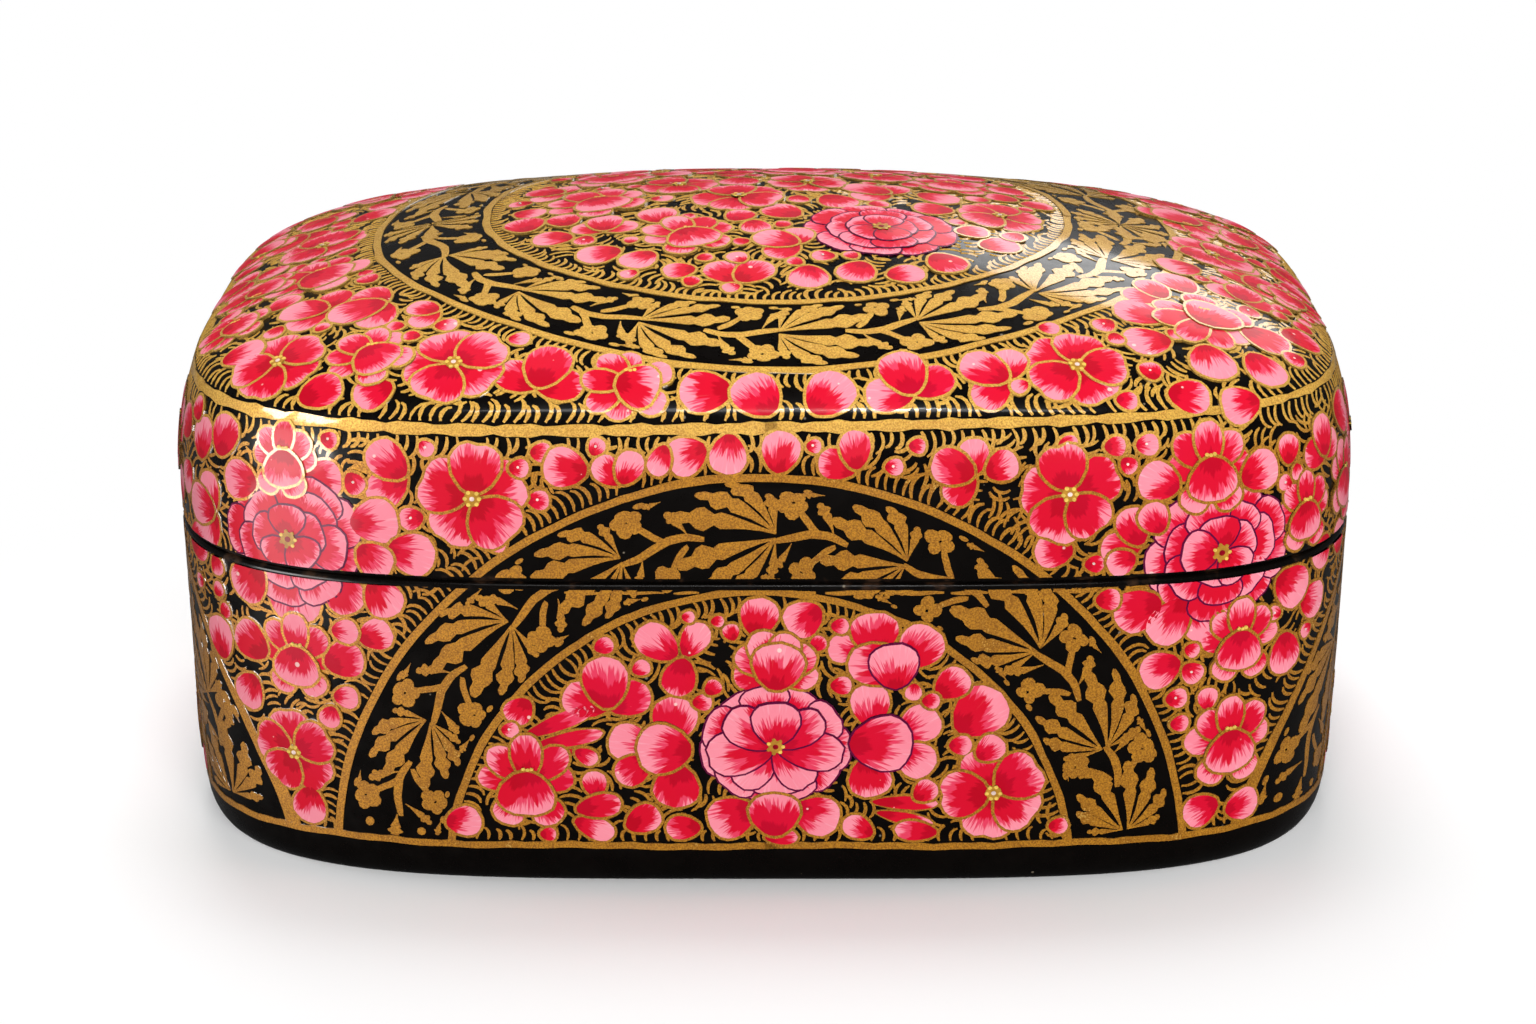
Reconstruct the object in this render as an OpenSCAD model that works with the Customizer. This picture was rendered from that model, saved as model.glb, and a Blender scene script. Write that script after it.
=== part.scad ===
// Hand-made oblong box of moulded paper pulp, with a domed lid that lifts straight off.
// The underside rests on Z = 0 and the box is centred on the Z axis.
// +X runs along the length, the front faces -Y, and the lid comes off along +Z.

/* [Outline] */
// Width at the widest level, left to right
box_w = 150; // [120:1:190]
// Depth at the widest level, front to back
box_d = 105; // [84:1:130]
// Squareness of the outline: 2 is an ellipse and a higher value is squarer
outline_power = 4.1; // [3:0.1:6]

/* [Heights] */
// Height of the base, from the table to its rim
base_h = 40.5; // [32:0.5:60]
// Height of the lid's upright wall, from its rim to its shoulder
lid_wall_h = 19; // [15:0.5:30]
// Rise of the crown above the shoulder
crown_h = 15.7; // [12:0.1:24]

/* [Shape of the walls] */
// How far the base leans in from its rim down to the foot
foot_draw = 0.8; // [0:0.1:3]
// Height of the rounded black foot
foot_h = 5.3; // [3:0.1:8]
// How far the foot curves in under the wall
foot_inset = 2.5; // [1:0.1:4]
// How far the lid's wall leans in at the shoulder
shoulder_draw = 2.3; // [0.5:0.1:4]
// Rounding of the two outer edges that meet at the parting line
rim_round = 0.7; // [0.3:0.1:1.2]

/* [Shape of the crown] */
// How slowly the crown falls away from its middle: higher is flatter
crown_fall = 1.7; // [1.4:0.1:3]
// How upright the crown is where it meets the shoulder
crown_edge = 1.67; // [1.2:0.01:2.4]
// Squareness of the crown's outline near its middle
crown_power = 1.9; // [1.8:0.1:3]

/* [Moulded pulp] */
// Thickness of the walls
wall_t = 3.6; // [2.8:0.1:5]
// Thickness of the floor
floor_t = 4; // [3:0.1:6]
// Thickness of the crown at its middle
crown_t = 3.8; // [3:0.1:6]
// Radius of the inside corner between wall and floor
floor_fillet = 6; // [3:0.5:9]

/* [Collar and fit of the lid] */
// Thickness of the collar where it stands inside the lid
collar_t = 1.7; // [1.3:0.1:3]
// How far the collar reaches down inside the base
collar_seat = 11; // [8:0.5:16]
// How far the collar stands above the rim of the base
collar_stand = 6.5; // [4:0.5:9]
// Height of the taper at the collar's top outer edge
collar_lead_h = 1.5; // [0.5:0.1:2.5]
// How far that taper leans in
collar_lead_in = 0.5; // [0.2:0.1:0.8]
// Free gap all round between the standing collar and the lining of the lid
lid_gap = 0.4; // [0.3:0.05:0.7]

/* [Pasted linings] */
// Thickness of the lacquered paper
lining_t = 0.5; // [0.3:0.05:0.7]
// How far the lid's lining stays back from the lid's rim
lining_back = 1; // [0.5:0.1:2]

/* [Hidden] */

// Points round every level: a multiple of four, so that both axes of the outline are met exactly
FACETS = 80;
// The foot is moulded this much too deep, then ground flat
GRIND = 1;
// Steps in a rounded corner
ROUND_STEPS = 4;
// Steps in a rounded rim edge
RIM_STEPS = 3;
// Steps up an upright wall
WALL_STEPS = 4;
// Shares of the crown's outline at which it has a level, from just inside the shoulder to the middle
CROWN_SHARES = [0.99, 0.97, 0.94, 0.89, 0.82, 0.73, 0.62, 0.49, 0.35, 0.2, 0.05];

shoulder_z = base_h + lid_wall_h;
collar_foot_z = base_h - collar_seat;
collar_top_z = base_h + collar_stand;
fillet_top_z = floor_t + floor_fillet;
floor_inset = lean(fillet_top_z) + wall_t + floor_fillet;
// The standing part of the collar clears the lining at the collar's top, where the lid is narrowest
collar_out = wall_t + lining_t + lid_gap + lean(collar_top_z);
collar_in = collar_out + collar_t;

// A power that keeps the sign of its base
function signed_pow(v, e) = sign(v) * pow(abs(v), e);

// How far the outer wall leans in at height z: most at the foot and at the shoulder, not at all at the rim
function lean(z) = z < base_h
    ? foot_draw * pow((base_h - z) / (base_h - foot_h), 2)
    : shoulder_draw * pow((z - base_h) / lid_wall_h, 3);

// One level of the box: its outline drawn in by inset at height z, as FACETS points
function level(inset, z, share = 1, power = outline_power) = [
    for (i = [0 : FACETS - 1])
        let (t = 360 * i / FACETS)
        [
            (box_w / 2 - inset) * share * signed_pow(cos(t), 2 / power),
            (box_d / 2 - inset) * share * signed_pow(sin(t), 2 / power),
            z
        ]
];

// One level of the wall, depth behind its outer face
function wall_level(z, depth = 0) = level(lean(z) + depth, z);

// Levels up the wall from low to high, depth behind its outer face
function wall_levels(low, high, depth = 0) = [
    for (k = [0 : WALL_STEPS])
        wall_level(low + (high - low) * k / WALL_STEPS, depth)
];

// Levels of the crown from the shoulder to its middle, depth behind the wall and drop below the top
function crown_levels(depth = 0, drop = 0) = [
    for (s = CROWN_SHARES)
        level(
            shoulder_draw + depth,
            shoulder_z + (crown_h - drop) * pow(1 - pow(s, crown_fall), 1 / crown_edge),
            s,
            crown_power + (outline_power - crown_power) * s * s
        )
];

// Levels of the rounded foot, from below the grinding plane up to the wall
function foot_levels() = [
    level(foot_draw + foot_inset, -GRIND),
    for (k = [0 : ROUND_STEPS - 1])
        let (a = 90 * k / ROUND_STEPS)
        level(foot_draw + foot_inset * (1 - sin(a)), foot_h * (1 - cos(a)))
];

// Levels of a rounded outer rim edge, from the wall to the parting line.
// The side is -1 for the base, below the line, and 1 for the lid, above it.
function rim_levels(side) = [
    for (k = [1 : RIM_STEPS])
        let (a = 90 * k / RIM_STEPS)
        level(rim_round * (1 - cos(a)), base_h + side * rim_round * (1 - sin(a)))
];

// Levels up the inside of the tub, from its floor to the foot of the collar, depth inside its face
function tub_levels(depth = 0) = [
    for (k = [0 : ROUND_STEPS])
        let (a = 90 - 90 * k / ROUND_STEPS)
        level(
            floor_inset - (floor_fillet - depth) * cos(a),
            fillet_top_z - (floor_fillet - depth) * sin(a)
        ),
    wall_level((fillet_top_z + collar_foot_z) / 2, wall_t + depth),
    wall_level(collar_foot_z, wall_t + depth)
];

// Levels up the part of the lid's wall that is lined, depth behind the outer face
function lined_levels(depth) = wall_levels(base_h + lining_back, shoulder_z, depth);

// A list in the opposite order
function reversed(list) = [for (k = [len(list) - 1 : -1 : 0]) list[k]];

// The two facets between points i and i + 1 of level k and of the level after it. Their diagonal always
// rises from point i of the lower level, so that pieces pasted on each other share the same facets.
function facet_pair(levels, k, i) =
    let (
        j = (i + 1) % FACETS,
        next = (k + 1) % len(levels),
        a = k * FACETS + i,
        b = k * FACETS + j,
        c = next * FACETS + j,
        d = next * FACETS + i
    )
    levels[k][0][2] <= levels[next][0][2]
        ? [[a, d, c], [a, c, b]]
        : [[a, d, b], [d, c, b]];

// A solid skinned over levels that run up its outside and down its inside.
// A loop joins its last level to its first, and otherwise both are closed by flat faces.
module skin(levels, loop = false) {
    n = len(levels);
    sides = [
        for (k = [0 : n - (loop ? 1 : 2)])
            for (i = [0 : FACETS - 1])
                each facet_pair(levels, k, i)
    ];
    first_cap = [for (i = [0 : FACETS - 1]) i];
    last_cap = [for (i = [FACETS - 1 : -1 : 0]) (n - 1) * FACETS + i];
    polyhedron(
        points = [for (one = levels) each one],
        faces = loop ? sides : concat(sides, [first_cap, last_cap]),
        convexity = 6
    );
}

// The moulded tub, ground flat underneath
module base_shell() {
    color("crimson")
    difference() {
        skin(concat(
            foot_levels(),
            wall_levels(foot_h, base_h - rim_round),
            rim_levels(-1),
            [wall_level(base_h, wall_t)],
            reversed(tub_levels())
        ));
        translate([-box_w, -box_d, -2 * GRIND])
        cube([2 * box_w, 2 * box_d, 2 * GRIND]);
    }
}

// The paper strip inside the tub's wall, from the floor up to the collar
module base_wall_lining() {
    color("black")
    skin(concat(tub_levels(), reversed(tub_levels(lining_t))), loop = true);
}

// The paper sheet on the floor, which meets the wall's strip edge to edge
module base_floor_lining() {
    color("black")
    translate([0, 0, floor_t])
    linear_extrude(height = lining_t)
    polygon([for (p = level(floor_inset, 0)) [p[0], p[1]]]);
}

// The rebated strip glued inside the mouth of the base, which stands up inside the lid
module collar() {
    color("saddlebrown")
    skin(
        [
            wall_level(collar_foot_z, wall_t),
            wall_level(base_h, wall_t),
            level(collar_out, base_h),
            level(collar_out, collar_top_z - collar_lead_h),
            level(collar_out + collar_lead_in, collar_top_z),
            level(collar_in, collar_top_z),
            level(collar_in + lean(collar_foot_z), collar_foot_z)
        ],
        loop = true
    );
}

// The moulded lid: an upright wall, a shoulder and a domed crown
module lid_shell() {
    color("deeppink")
    skin(concat(
        reversed(crown_levels(wall_t, crown_t)),
        reversed(lined_levels(wall_t)),
        [wall_level(base_h, wall_t)],
        reversed(rim_levels(1)),
        wall_levels(base_h + rim_round, shoulder_z),
        crown_levels()
    ));
}

// The paper strip inside the lid's wall, up to the shoulder
module lid_wall_lining() {
    color("black")
    skin(concat(lined_levels(wall_t), reversed(lined_levels(wall_t + lining_t))), loop = true);
}

// The paper under the crown, which stands on the edge of the wall's strip
module lid_crown_lining() {
    color("black")
    skin(concat(
        reversed(crown_levels(wall_t + lining_t, crown_t + lining_t)),
        [
            wall_level(shoulder_z, wall_t + lining_t),
            wall_level(shoulder_z, wall_t)
        ],
        crown_levels(wall_t, crown_t)
    ));
}

base_shell();
base_wall_lining();
base_floor_lining();
collar();
lid_shell();
lid_wall_lining();
lid_crown_lining();
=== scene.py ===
"""Looks of the painted papier mache box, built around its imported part.

The box is moulded from paper pulp, blackened, and painted by hand with crimson flowers, gold bands and a
ground of fine gold strokes, under clear lacquer. Here each petal, leaf, line and stroke is a thin closed
tile of paint, drawn on a flat patch in millimetres, laid on the moulded skin and cut where the lid parts.
"""

from __future__ import annotations

import logging
import math
from collections.abc import Callable, Iterable
from dataclasses import dataclass, field
from enum import Enum
from functools import partial

import bmesh
import bpy
import numpy as np
from mathutils.kdtree import KDTree
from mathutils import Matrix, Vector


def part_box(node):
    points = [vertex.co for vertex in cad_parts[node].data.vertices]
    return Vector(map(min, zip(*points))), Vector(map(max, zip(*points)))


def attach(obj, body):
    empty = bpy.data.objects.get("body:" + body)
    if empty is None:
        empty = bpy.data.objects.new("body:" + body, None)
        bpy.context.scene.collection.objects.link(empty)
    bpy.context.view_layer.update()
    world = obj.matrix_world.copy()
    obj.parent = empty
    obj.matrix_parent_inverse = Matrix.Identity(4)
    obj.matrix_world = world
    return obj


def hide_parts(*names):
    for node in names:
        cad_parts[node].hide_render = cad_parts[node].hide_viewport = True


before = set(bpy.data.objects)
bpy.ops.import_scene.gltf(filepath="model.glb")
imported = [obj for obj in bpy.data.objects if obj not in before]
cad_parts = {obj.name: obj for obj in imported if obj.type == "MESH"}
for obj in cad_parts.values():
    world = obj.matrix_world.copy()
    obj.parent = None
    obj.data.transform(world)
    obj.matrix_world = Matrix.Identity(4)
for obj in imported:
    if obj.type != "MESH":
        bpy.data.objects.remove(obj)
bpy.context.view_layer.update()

MM = 0.001  # One millimetre in the scene's metres
log = logging.getLogger("painted_box")

Array = np.ndarray
Placer = Callable[[Array], Array]  # From flat points to points in space
Rail = Callable[[Array, Array], Array]  # From two coordinates of the skin to points in space
Material = bpy.types.Material
Colour = tuple[float, float, float, float]
Socket = bpy.types.NodeSocket
Value = Socket | float
NUMBER, COLOUR = "NodeSocketFloat", "NodeSocketColor"
UNSEEN = (0.001, 0.001)  # Where faces that nobody sees go in the bake


def srgb(red: float, green: float, blue: float) -> Colour:
    """Returns a paint colour given as 0 to 255 in the linear form that shaders use."""
    def linear(value: float) -> float:
        """Returns one channel in linear form."""
        share = value / 255
        return share / 12.92 if share <= 0.04045 else ((share + 0.055) / 1.055) ** 2.4

    return (linear(red), linear(green), linear(blue), 1.0)


def oblong(turn: Array, power: float) -> tuple[Array, Array]:
    """Returns x and y round an oblong of that squareness, which reaches 1 along both axes."""
    grow = 2 / power
    return (np.sign(np.cos(turn)) * np.abs(np.cos(turn)) ** grow,
            np.sign(np.sin(turn)) * np.abs(np.sin(turn)) ** grow)


def ring_points(x: float, y: float, r: float, count: int, squash: float = 1.0,
                start: float = 0.0) -> Array:
    """Returns points round a spot, anticlockwise, drawn flatter where squash is under 1."""
    turn = np.linspace(0, 2 * np.pi, count, endpoint=False) + start
    return np.stack([x + r * np.cos(turn), y + r * squash * np.sin(turn)], axis=1)


def toward(angle: float, away: float, tall: float | None = None) -> tuple[float, float]:
    """Returns the point at a distance in a direction in degrees, or at another distance up and down."""
    turn = math.radians(angle)
    return away * math.cos(turn), (away if tall is None else tall) * math.sin(turn)


def way_along(points: Array) -> Array:
    """Returns how far along the line through all points each one lies."""
    return np.concatenate([[0], np.cumsum(np.linalg.norm(np.diff(points, axis=0), axis=1))])


def sideways(path: Array) -> Array:
    """Returns the unit vectors that point left of a flat path at each of its points."""
    ahead = np.gradient(path, axis=0)
    ahead /= np.maximum(np.linalg.norm(ahead, axis=1), 1e-9)[:, None]
    return np.stack([-ahead[:, 1], ahead[:, 0]], axis=1)


def new_object(name: str, data: bpy.types.ID) -> bpy.types.Object:
    """Returns a new object of the scene that has that data."""
    made = bpy.data.objects.new(name, data)
    bpy.context.scene.collection.objects.link(made)
    return made


# --- The moulded form ---


@dataclass(frozen=True)
class BoxForm:
    """The outer skin of the closed box in millimetres, moulded as part.scad has it."""

    half_w: float
    half_d: float
    rim_z: float
    shoulder_z: float
    crown_h: float = 15.7
    outline_power: float = 4.1
    foot_draw: float = 0.8
    foot_h: float = 5.3
    foot_inset: float = 2.5
    shoulder_draw: float = 2.3
    rim_round: float = 0.7
    crown_fall: float = 1.7
    crown_edge: float = 1.67
    crown_power: float = 1.9
    wall_t: float = 3.6
    floor_t: float = 4.0
    crown_t: float = 3.8
    floor_fillet: float = 6.0
    lining_back: float = 1.0

    @classmethod
    def from_part(cls) -> BoxForm:
        """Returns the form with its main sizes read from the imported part's nodes."""
        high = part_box("base_shell")[1]
        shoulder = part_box("lid_wall_lining")[1][2]
        return cls(half_w=high[0] / MM, half_d=high[1] / MM, rim_z=high[2] / MM, shoulder_z=shoulder / MM)

    @property
    def wall_h(self) -> float:
        """Height of the lid's upright wall."""
        return self.shoulder_z - self.rim_z

    def lean(self, z: Array) -> Array:
        """Returns how far the wall leans in at each height z."""
        z = np.asarray(z, dtype=float)
        low = self.foot_draw * ((self.rim_z - z) / (self.rim_z - self.foot_h)) ** 2
        high = self.shoulder_draw * (np.maximum(z - self.rim_z, 0.0) / self.wall_h) ** 3
        return np.where(z < self.rim_z, low, high)

    def level(self, count: int, inset: float, z: float, share: float = 1.0,
              power: float | None = None) -> Array:
        """Returns one closed outline of the box.

        Args:
            count: Points round the outline.
            inset: How far it is drawn in from the widest outline.
            z: Its height.
            share: Its size as a share of the whole outline.
            power: Its squareness, or None for that of the walls.

        Returns:
            The points as an array of (count, 3).
        """
        x, y = oblong(np.linspace(0, 2 * np.pi, count, endpoint=False), power or self.outline_power)
        return np.stack([(self.half_w - inset) * share * x, (self.half_d - inset) * share * y,
                         np.full(count, z)], axis=1)

    def wall_levels(self, count: int, heights: Iterable[float], depth: float = 0.0) -> list[Array]:
        """Returns an outline of the wall at each height, depth behind its outer face."""
        return [self.level(count, float(self.lean(z)) + depth, z) for z in heights]

    def rim_levels(self, count: int, side: int, steps: int = 5) -> list[Array]:
        """Returns the rounded rim's outlines up to the parting line, below it for side -1, above for 1."""
        return [self.level(count, self.rim_round * (1 - math.cos(a)),
                           self.rim_z + side * self.rim_round * (1 - math.sin(a)))
                for a in np.linspace(0, math.pi / 2, steps + 1)[1:]]

    def crown_share(self, x: Array, y: Array) -> Array:
        """Returns which share of the crown's outline each plan point (x, y) lies on."""
        across = np.abs(x) / (self.half_w - self.shoulder_draw) + 1e-9
        deep = np.abs(y) / (self.half_d - self.shoulder_draw) + 1e-9
        share = (across**self.outline_power + deep**self.outline_power) ** (1 / self.outline_power)
        for _ in range(7):
            power = self.crown_power + (self.outline_power - self.crown_power) * np.minimum(share, 1) ** 2
            share = (across**power + deep**power) ** (1 / power)
        return share

    def crown_z(self, share: Array) -> Array:
        """Returns the crown's height on each share of its outline."""
        fall = np.clip(1 - share**self.crown_fall, 0, 1)
        return self.shoulder_z + self.crown_h * fall ** (1 / self.crown_edge)

    def beyond(self, points: Array) -> Array:
        """Returns a value that is 0 on the skin, negative inside it and positive outside it."""
        x, y, z = points[:, 0], points[:, 1], points[:, 2]
        value = np.empty(len(points))
        crown = z > self.shoulder_z
        wall = ~crown
        inset = self.lean(z[wall])
        value[wall] = ((np.abs(x[wall]) / (self.half_w - inset)) ** self.outline_power
                       + (np.abs(y[wall]) / (self.half_d - inset)) ** self.outline_power
                       ) ** (1 / self.outline_power) - 1
        share = self.crown_share(x[crown], y[crown])
        rise = (z[crown] - self.shoulder_z) / self.crown_h
        value[crown] = share**self.crown_fall + rise**self.crown_edge - 1
        return value

    def slope(self, points: Array, value: Array) -> Array:
        """Returns the gradient of beyond() at points where it has the given value."""
        step = 1e-4
        slopes = np.empty_like(points)
        for axis in range(3):
            moved = points.copy()
            moved[:, axis] += step
            slopes[:, axis] = (self.beyond(moved) - value) / step
        return slopes

    def settle(self, points: Array, rounds: int = 3) -> tuple[Array, Array]:
        """Lays points that are near the skin on it.

        Args:
            points: The points as an array of (n, 3).
            rounds: How many times each point is brought nearer.

        Returns:
            The points on the skin, and the outward normals there.
        """
        points = np.array(points, dtype=float)
        for _ in range(rounds):
            value = self.beyond(points)
            slopes = self.slope(points, value)
            move = slopes * (value / np.maximum((slopes**2).sum(axis=1), 1e-12))[:, None]
            length = np.linalg.norm(move, axis=1)
            points -= move * np.minimum(1, 4 / np.maximum(length, 1e-9))[:, None]
        slopes = self.slope(points, self.beyond(points))
        return points, slopes / np.linalg.norm(slopes, axis=1)[:, None]

    def _bulge(self, across: Array, z: Array, half: float, out: float) -> Array:
        """Returns how far a wall that is twice half wide and reaches out stands out at (across, z)."""
        inset = self.lean(np.minimum(z, self.shoulder_z))
        left = np.clip(1 - (np.abs(across) / (half - inset)) ** self.outline_power, 0, 1)
        return (out - inset) * left ** (1 / self.outline_power)

    def front(self, x: Array, z: Array) -> Array:
        """Returns the points of the front that are seen at (x, z) from straight ahead."""
        return np.stack([x, -self._bulge(x, z, self.half_w, self.half_d), z], axis=1)

    def right_end(self, y: Array, z: Array) -> Array:
        """Returns the points of the right-hand end that are seen at (y, z) from that side."""
        return np.stack([self._bulge(y, z, self.half_d, self.half_w), y, z], axis=1)

    def crown(self, x: Array, y: Array) -> Array:
        """Returns the points of the crown above the plan points (x, y)."""
        return np.stack([x, y, self.crown_z(self.crown_share(x, y))], axis=1)


class Girth:
    """The length round the rim, counted from the middle of the front towards the right-hand end."""

    def __init__(self, form: BoxForm, steps: int = 8000) -> None:
        self.form = form
        x, y = oblong(np.linspace(-np.pi / 2, 1.5 * np.pi, steps + 1), form.outline_power)
        self.x, self.y = form.half_w * x, form.half_d * y
        self.length = np.concatenate([[0], np.cumsum(np.hypot(np.diff(self.x), np.diff(self.y)))])
        self.whole = float(self.length[-1])

    def wall(self, u: Array, z: Array) -> Array:
        """Returns the points of the wall at length u round the rim and height z."""
        u = np.asarray(u, dtype=float) % self.whole
        z = np.broadcast_to(np.asarray(z, dtype=float), u.shape)
        inset = self.form.lean(np.minimum(z, self.form.shoulder_z))
        x = np.interp(u, self.length, self.x) * (1 - inset / self.form.half_w)
        y = np.interp(u, self.length, self.y) * (1 - inset / self.form.half_d)
        return np.stack([x, y, z], axis=1)

    def of_points(self, points: Array) -> Array:
        """Returns each point's length round the rim, going by its direction from the middle."""
        turn = np.arctan2(points[:, 1] / self.form.half_d, points[:, 0] / self.form.half_w)
        known = np.unwrap(np.arctan2(self.y / self.form.half_d, self.x / self.form.half_w))
        low = known[0]
        return np.interp((turn - low) % (2 * np.pi) + low, known, self.length)


# --- Laying paint on the form ---


class Turn(Enum):
    """Which copy of a painted passage this is: as placed, or turned half round the box."""

    AS_PLACED = 1
    HALF_ROUND = -1


ON_CROWN = 0.6  # Higher than this above the shoulder, a patch's right follows +X and not the wall


class Seat:
    """A flat patch that touches the skin, on which a motif is drawn before it is laid down."""

    def __init__(self, form: BoxForm, origin: Array, normal: Array,
                 turn: Turn = Turn.AS_PLACED) -> None:
        self.origin, self.normal = origin, normal
        if origin[2] > form.shoulder_z + ON_CROWN:
            right = np.array([1.0, 0, 0]) - normal * normal[0]
        else:
            right = np.cross([0, 0, 1.0], normal)
        self.right = right / np.linalg.norm(right)
        self.up = np.cross(self.normal, self.right)
        self.turn = np.array([turn.value, turn.value, 1.0])

    @classmethod
    def row(cls, form: BoxForm, near: Array, turn: Turn = Turn.AS_PLACED) -> list[Seat]:
        """Returns a patch for each of the given points near the skin."""
        return [cls(form, origin, normal, turn) for origin, normal in zip(*form.settle(near, 2))]

    def __call__(self, flat: Array) -> Array:
        """Returns where the patch's own (right, up) points are in space."""
        return (self.origin + flat[:, :1] * self.right + flat[:, 1:2] * self.up) * self.turn


@dataclass
class Tile:
    """One closed tile of paint: a raised top, sides that sink into the skin, and a hidden underside."""

    flat: Array
    lift: Array
    tops: list[tuple[int, ...]]
    unders: list[tuple[int, ...]]
    brush: Array | None = None


def disc_tile(outline: Array, lift: float, inner: tuple[float, ...] = (), sink: float = -0.16,
              brush: Callable[[Array], Array] | None = None) -> Tile:
    """Makes a tile from a closed outline.

    Args:
        outline: Its points in order, anticlockwise, as an array of (n, 2).
        lift: How far the top stands above the skin.
        inner: Shares of the way from the middle to the outline that get a ring of points.
        sink: How far below the skin the sides end.
        brush: Gives each flat point its place in the brushwork.

    Returns:
        The tile.
    """
    n = len(outline)
    middle = outline.mean(axis=0)
    rings = [middle + (outline - middle) * share for share in (*inner, 1.0)]
    flat = np.concatenate([middle[None], *rings, outline])
    lifts = np.full(len(flat), lift)
    lifts[-n:] = sink
    tops = [(0, 1 + i, 1 + (i + 1) % n) for i in range(n)]
    for ring in range(len(rings)):
        a, b = 1 + ring * n, 1 + (ring + 1) * n
        tops += [(a + i, b + i, b + (i + 1) % n, a + (i + 1) % n) for i in range(n)]
    last = 1 + len(rings) * n
    unders = [tuple(last + i for i in reversed(range(n)))]
    return Tile(flat, lifts, tops, unders, brush(flat) if brush else None)


def blade_tile(path: Array, half: Array, lift: float, sink: float = -0.12) -> Tile:
    """Makes a flat-topped tile along a path: a leaf's finger, a drawn line.

    Args:
        path: The path's points as an array of (n, 2).
        half: Half of the tile's width at each point, or two rows of it, left and right of the path.
        lift: How far the top stands above the skin.
        sink: How far below the skin the sides end.

    Returns:
        The tile.
    """
    n = len(path)
    side = sideways(path)
    left, right = half if half.ndim == 2 else (half, half)
    one, two = path - side * left[:, None], path + side * right[:, None]
    flat = np.concatenate([one, two, one, two])
    lifts = np.concatenate([np.full(2 * n, lift), np.full(2 * n, sink)])
    tops: list[tuple[int, ...]] = []
    unders: list[tuple[int, ...]] = []
    for i in range(n - 1):
        tops += [(i, i + 1, n + i + 1, n + i), (2 * n + i, 2 * n + i + 1, i + 1, i),
                 (n + i, n + i + 1, 3 * n + i + 1, 3 * n + i)]
        unders.append((3 * n + i, 3 * n + i + 1, 2 * n + i + 1, 2 * n + i))
    tops += [(0, n, 3 * n, 2 * n), (2 * n - 1, n - 1, 3 * n - 1, 4 * n - 1)]
    return Tile(flat, lifts, tops, unders)


def stroke_tile(path: Array, width: float, lift: float = 0.1, blunt: float = 0.55,
                sink: float = -0.05) -> Tile:
    """Makes a tile for one stroke of a fine brush, ridged along its middle.

    Args:
        path: The stroke's points as an array of (n, 2).
        width: Its width where it is widest, as seen on the skin.
        lift: How far its ridge stands above the skin.
        blunt: Its width at both ends as a share of the widest.
        sink: How far below the skin its sides end.

    Returns:
        The tile.
    """
    n = len(path)
    swell = blunt + (1 - blunt) * np.sin(np.linspace(0, np.pi, n)) ** 0.6
    half = width / 2 * (lift - sink) / lift * swell
    side = sideways(path) * half[:, None]
    flat = np.concatenate([path - side, path, path + side])
    lifts = np.concatenate([np.full(n, sink), np.full(n, lift), np.full(n, sink)])
    tops: list[tuple[int, ...]] = []
    unders: list[tuple[int, ...]] = []
    for i in range(n - 1):
        tops += [(i, i + 1, n + i + 1, n + i), (n + i, n + i + 1, 2 * n + i + 1, 2 * n + i)]
        unders.append((2 * n + i, 2 * n + i + 1, i + 1, i))
    tops += [(0, n, 2 * n), (n - 1, 3 * n - 1, 2 * n - 1)]
    return Tile(flat, lifts, tops, unders)


class Atlas(Enum):
    """How a layer's paint is laid out for baking: each tile in its own cell, or all as they lie."""

    CELLS = "cells"
    AS_LAID = "as laid"


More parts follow.
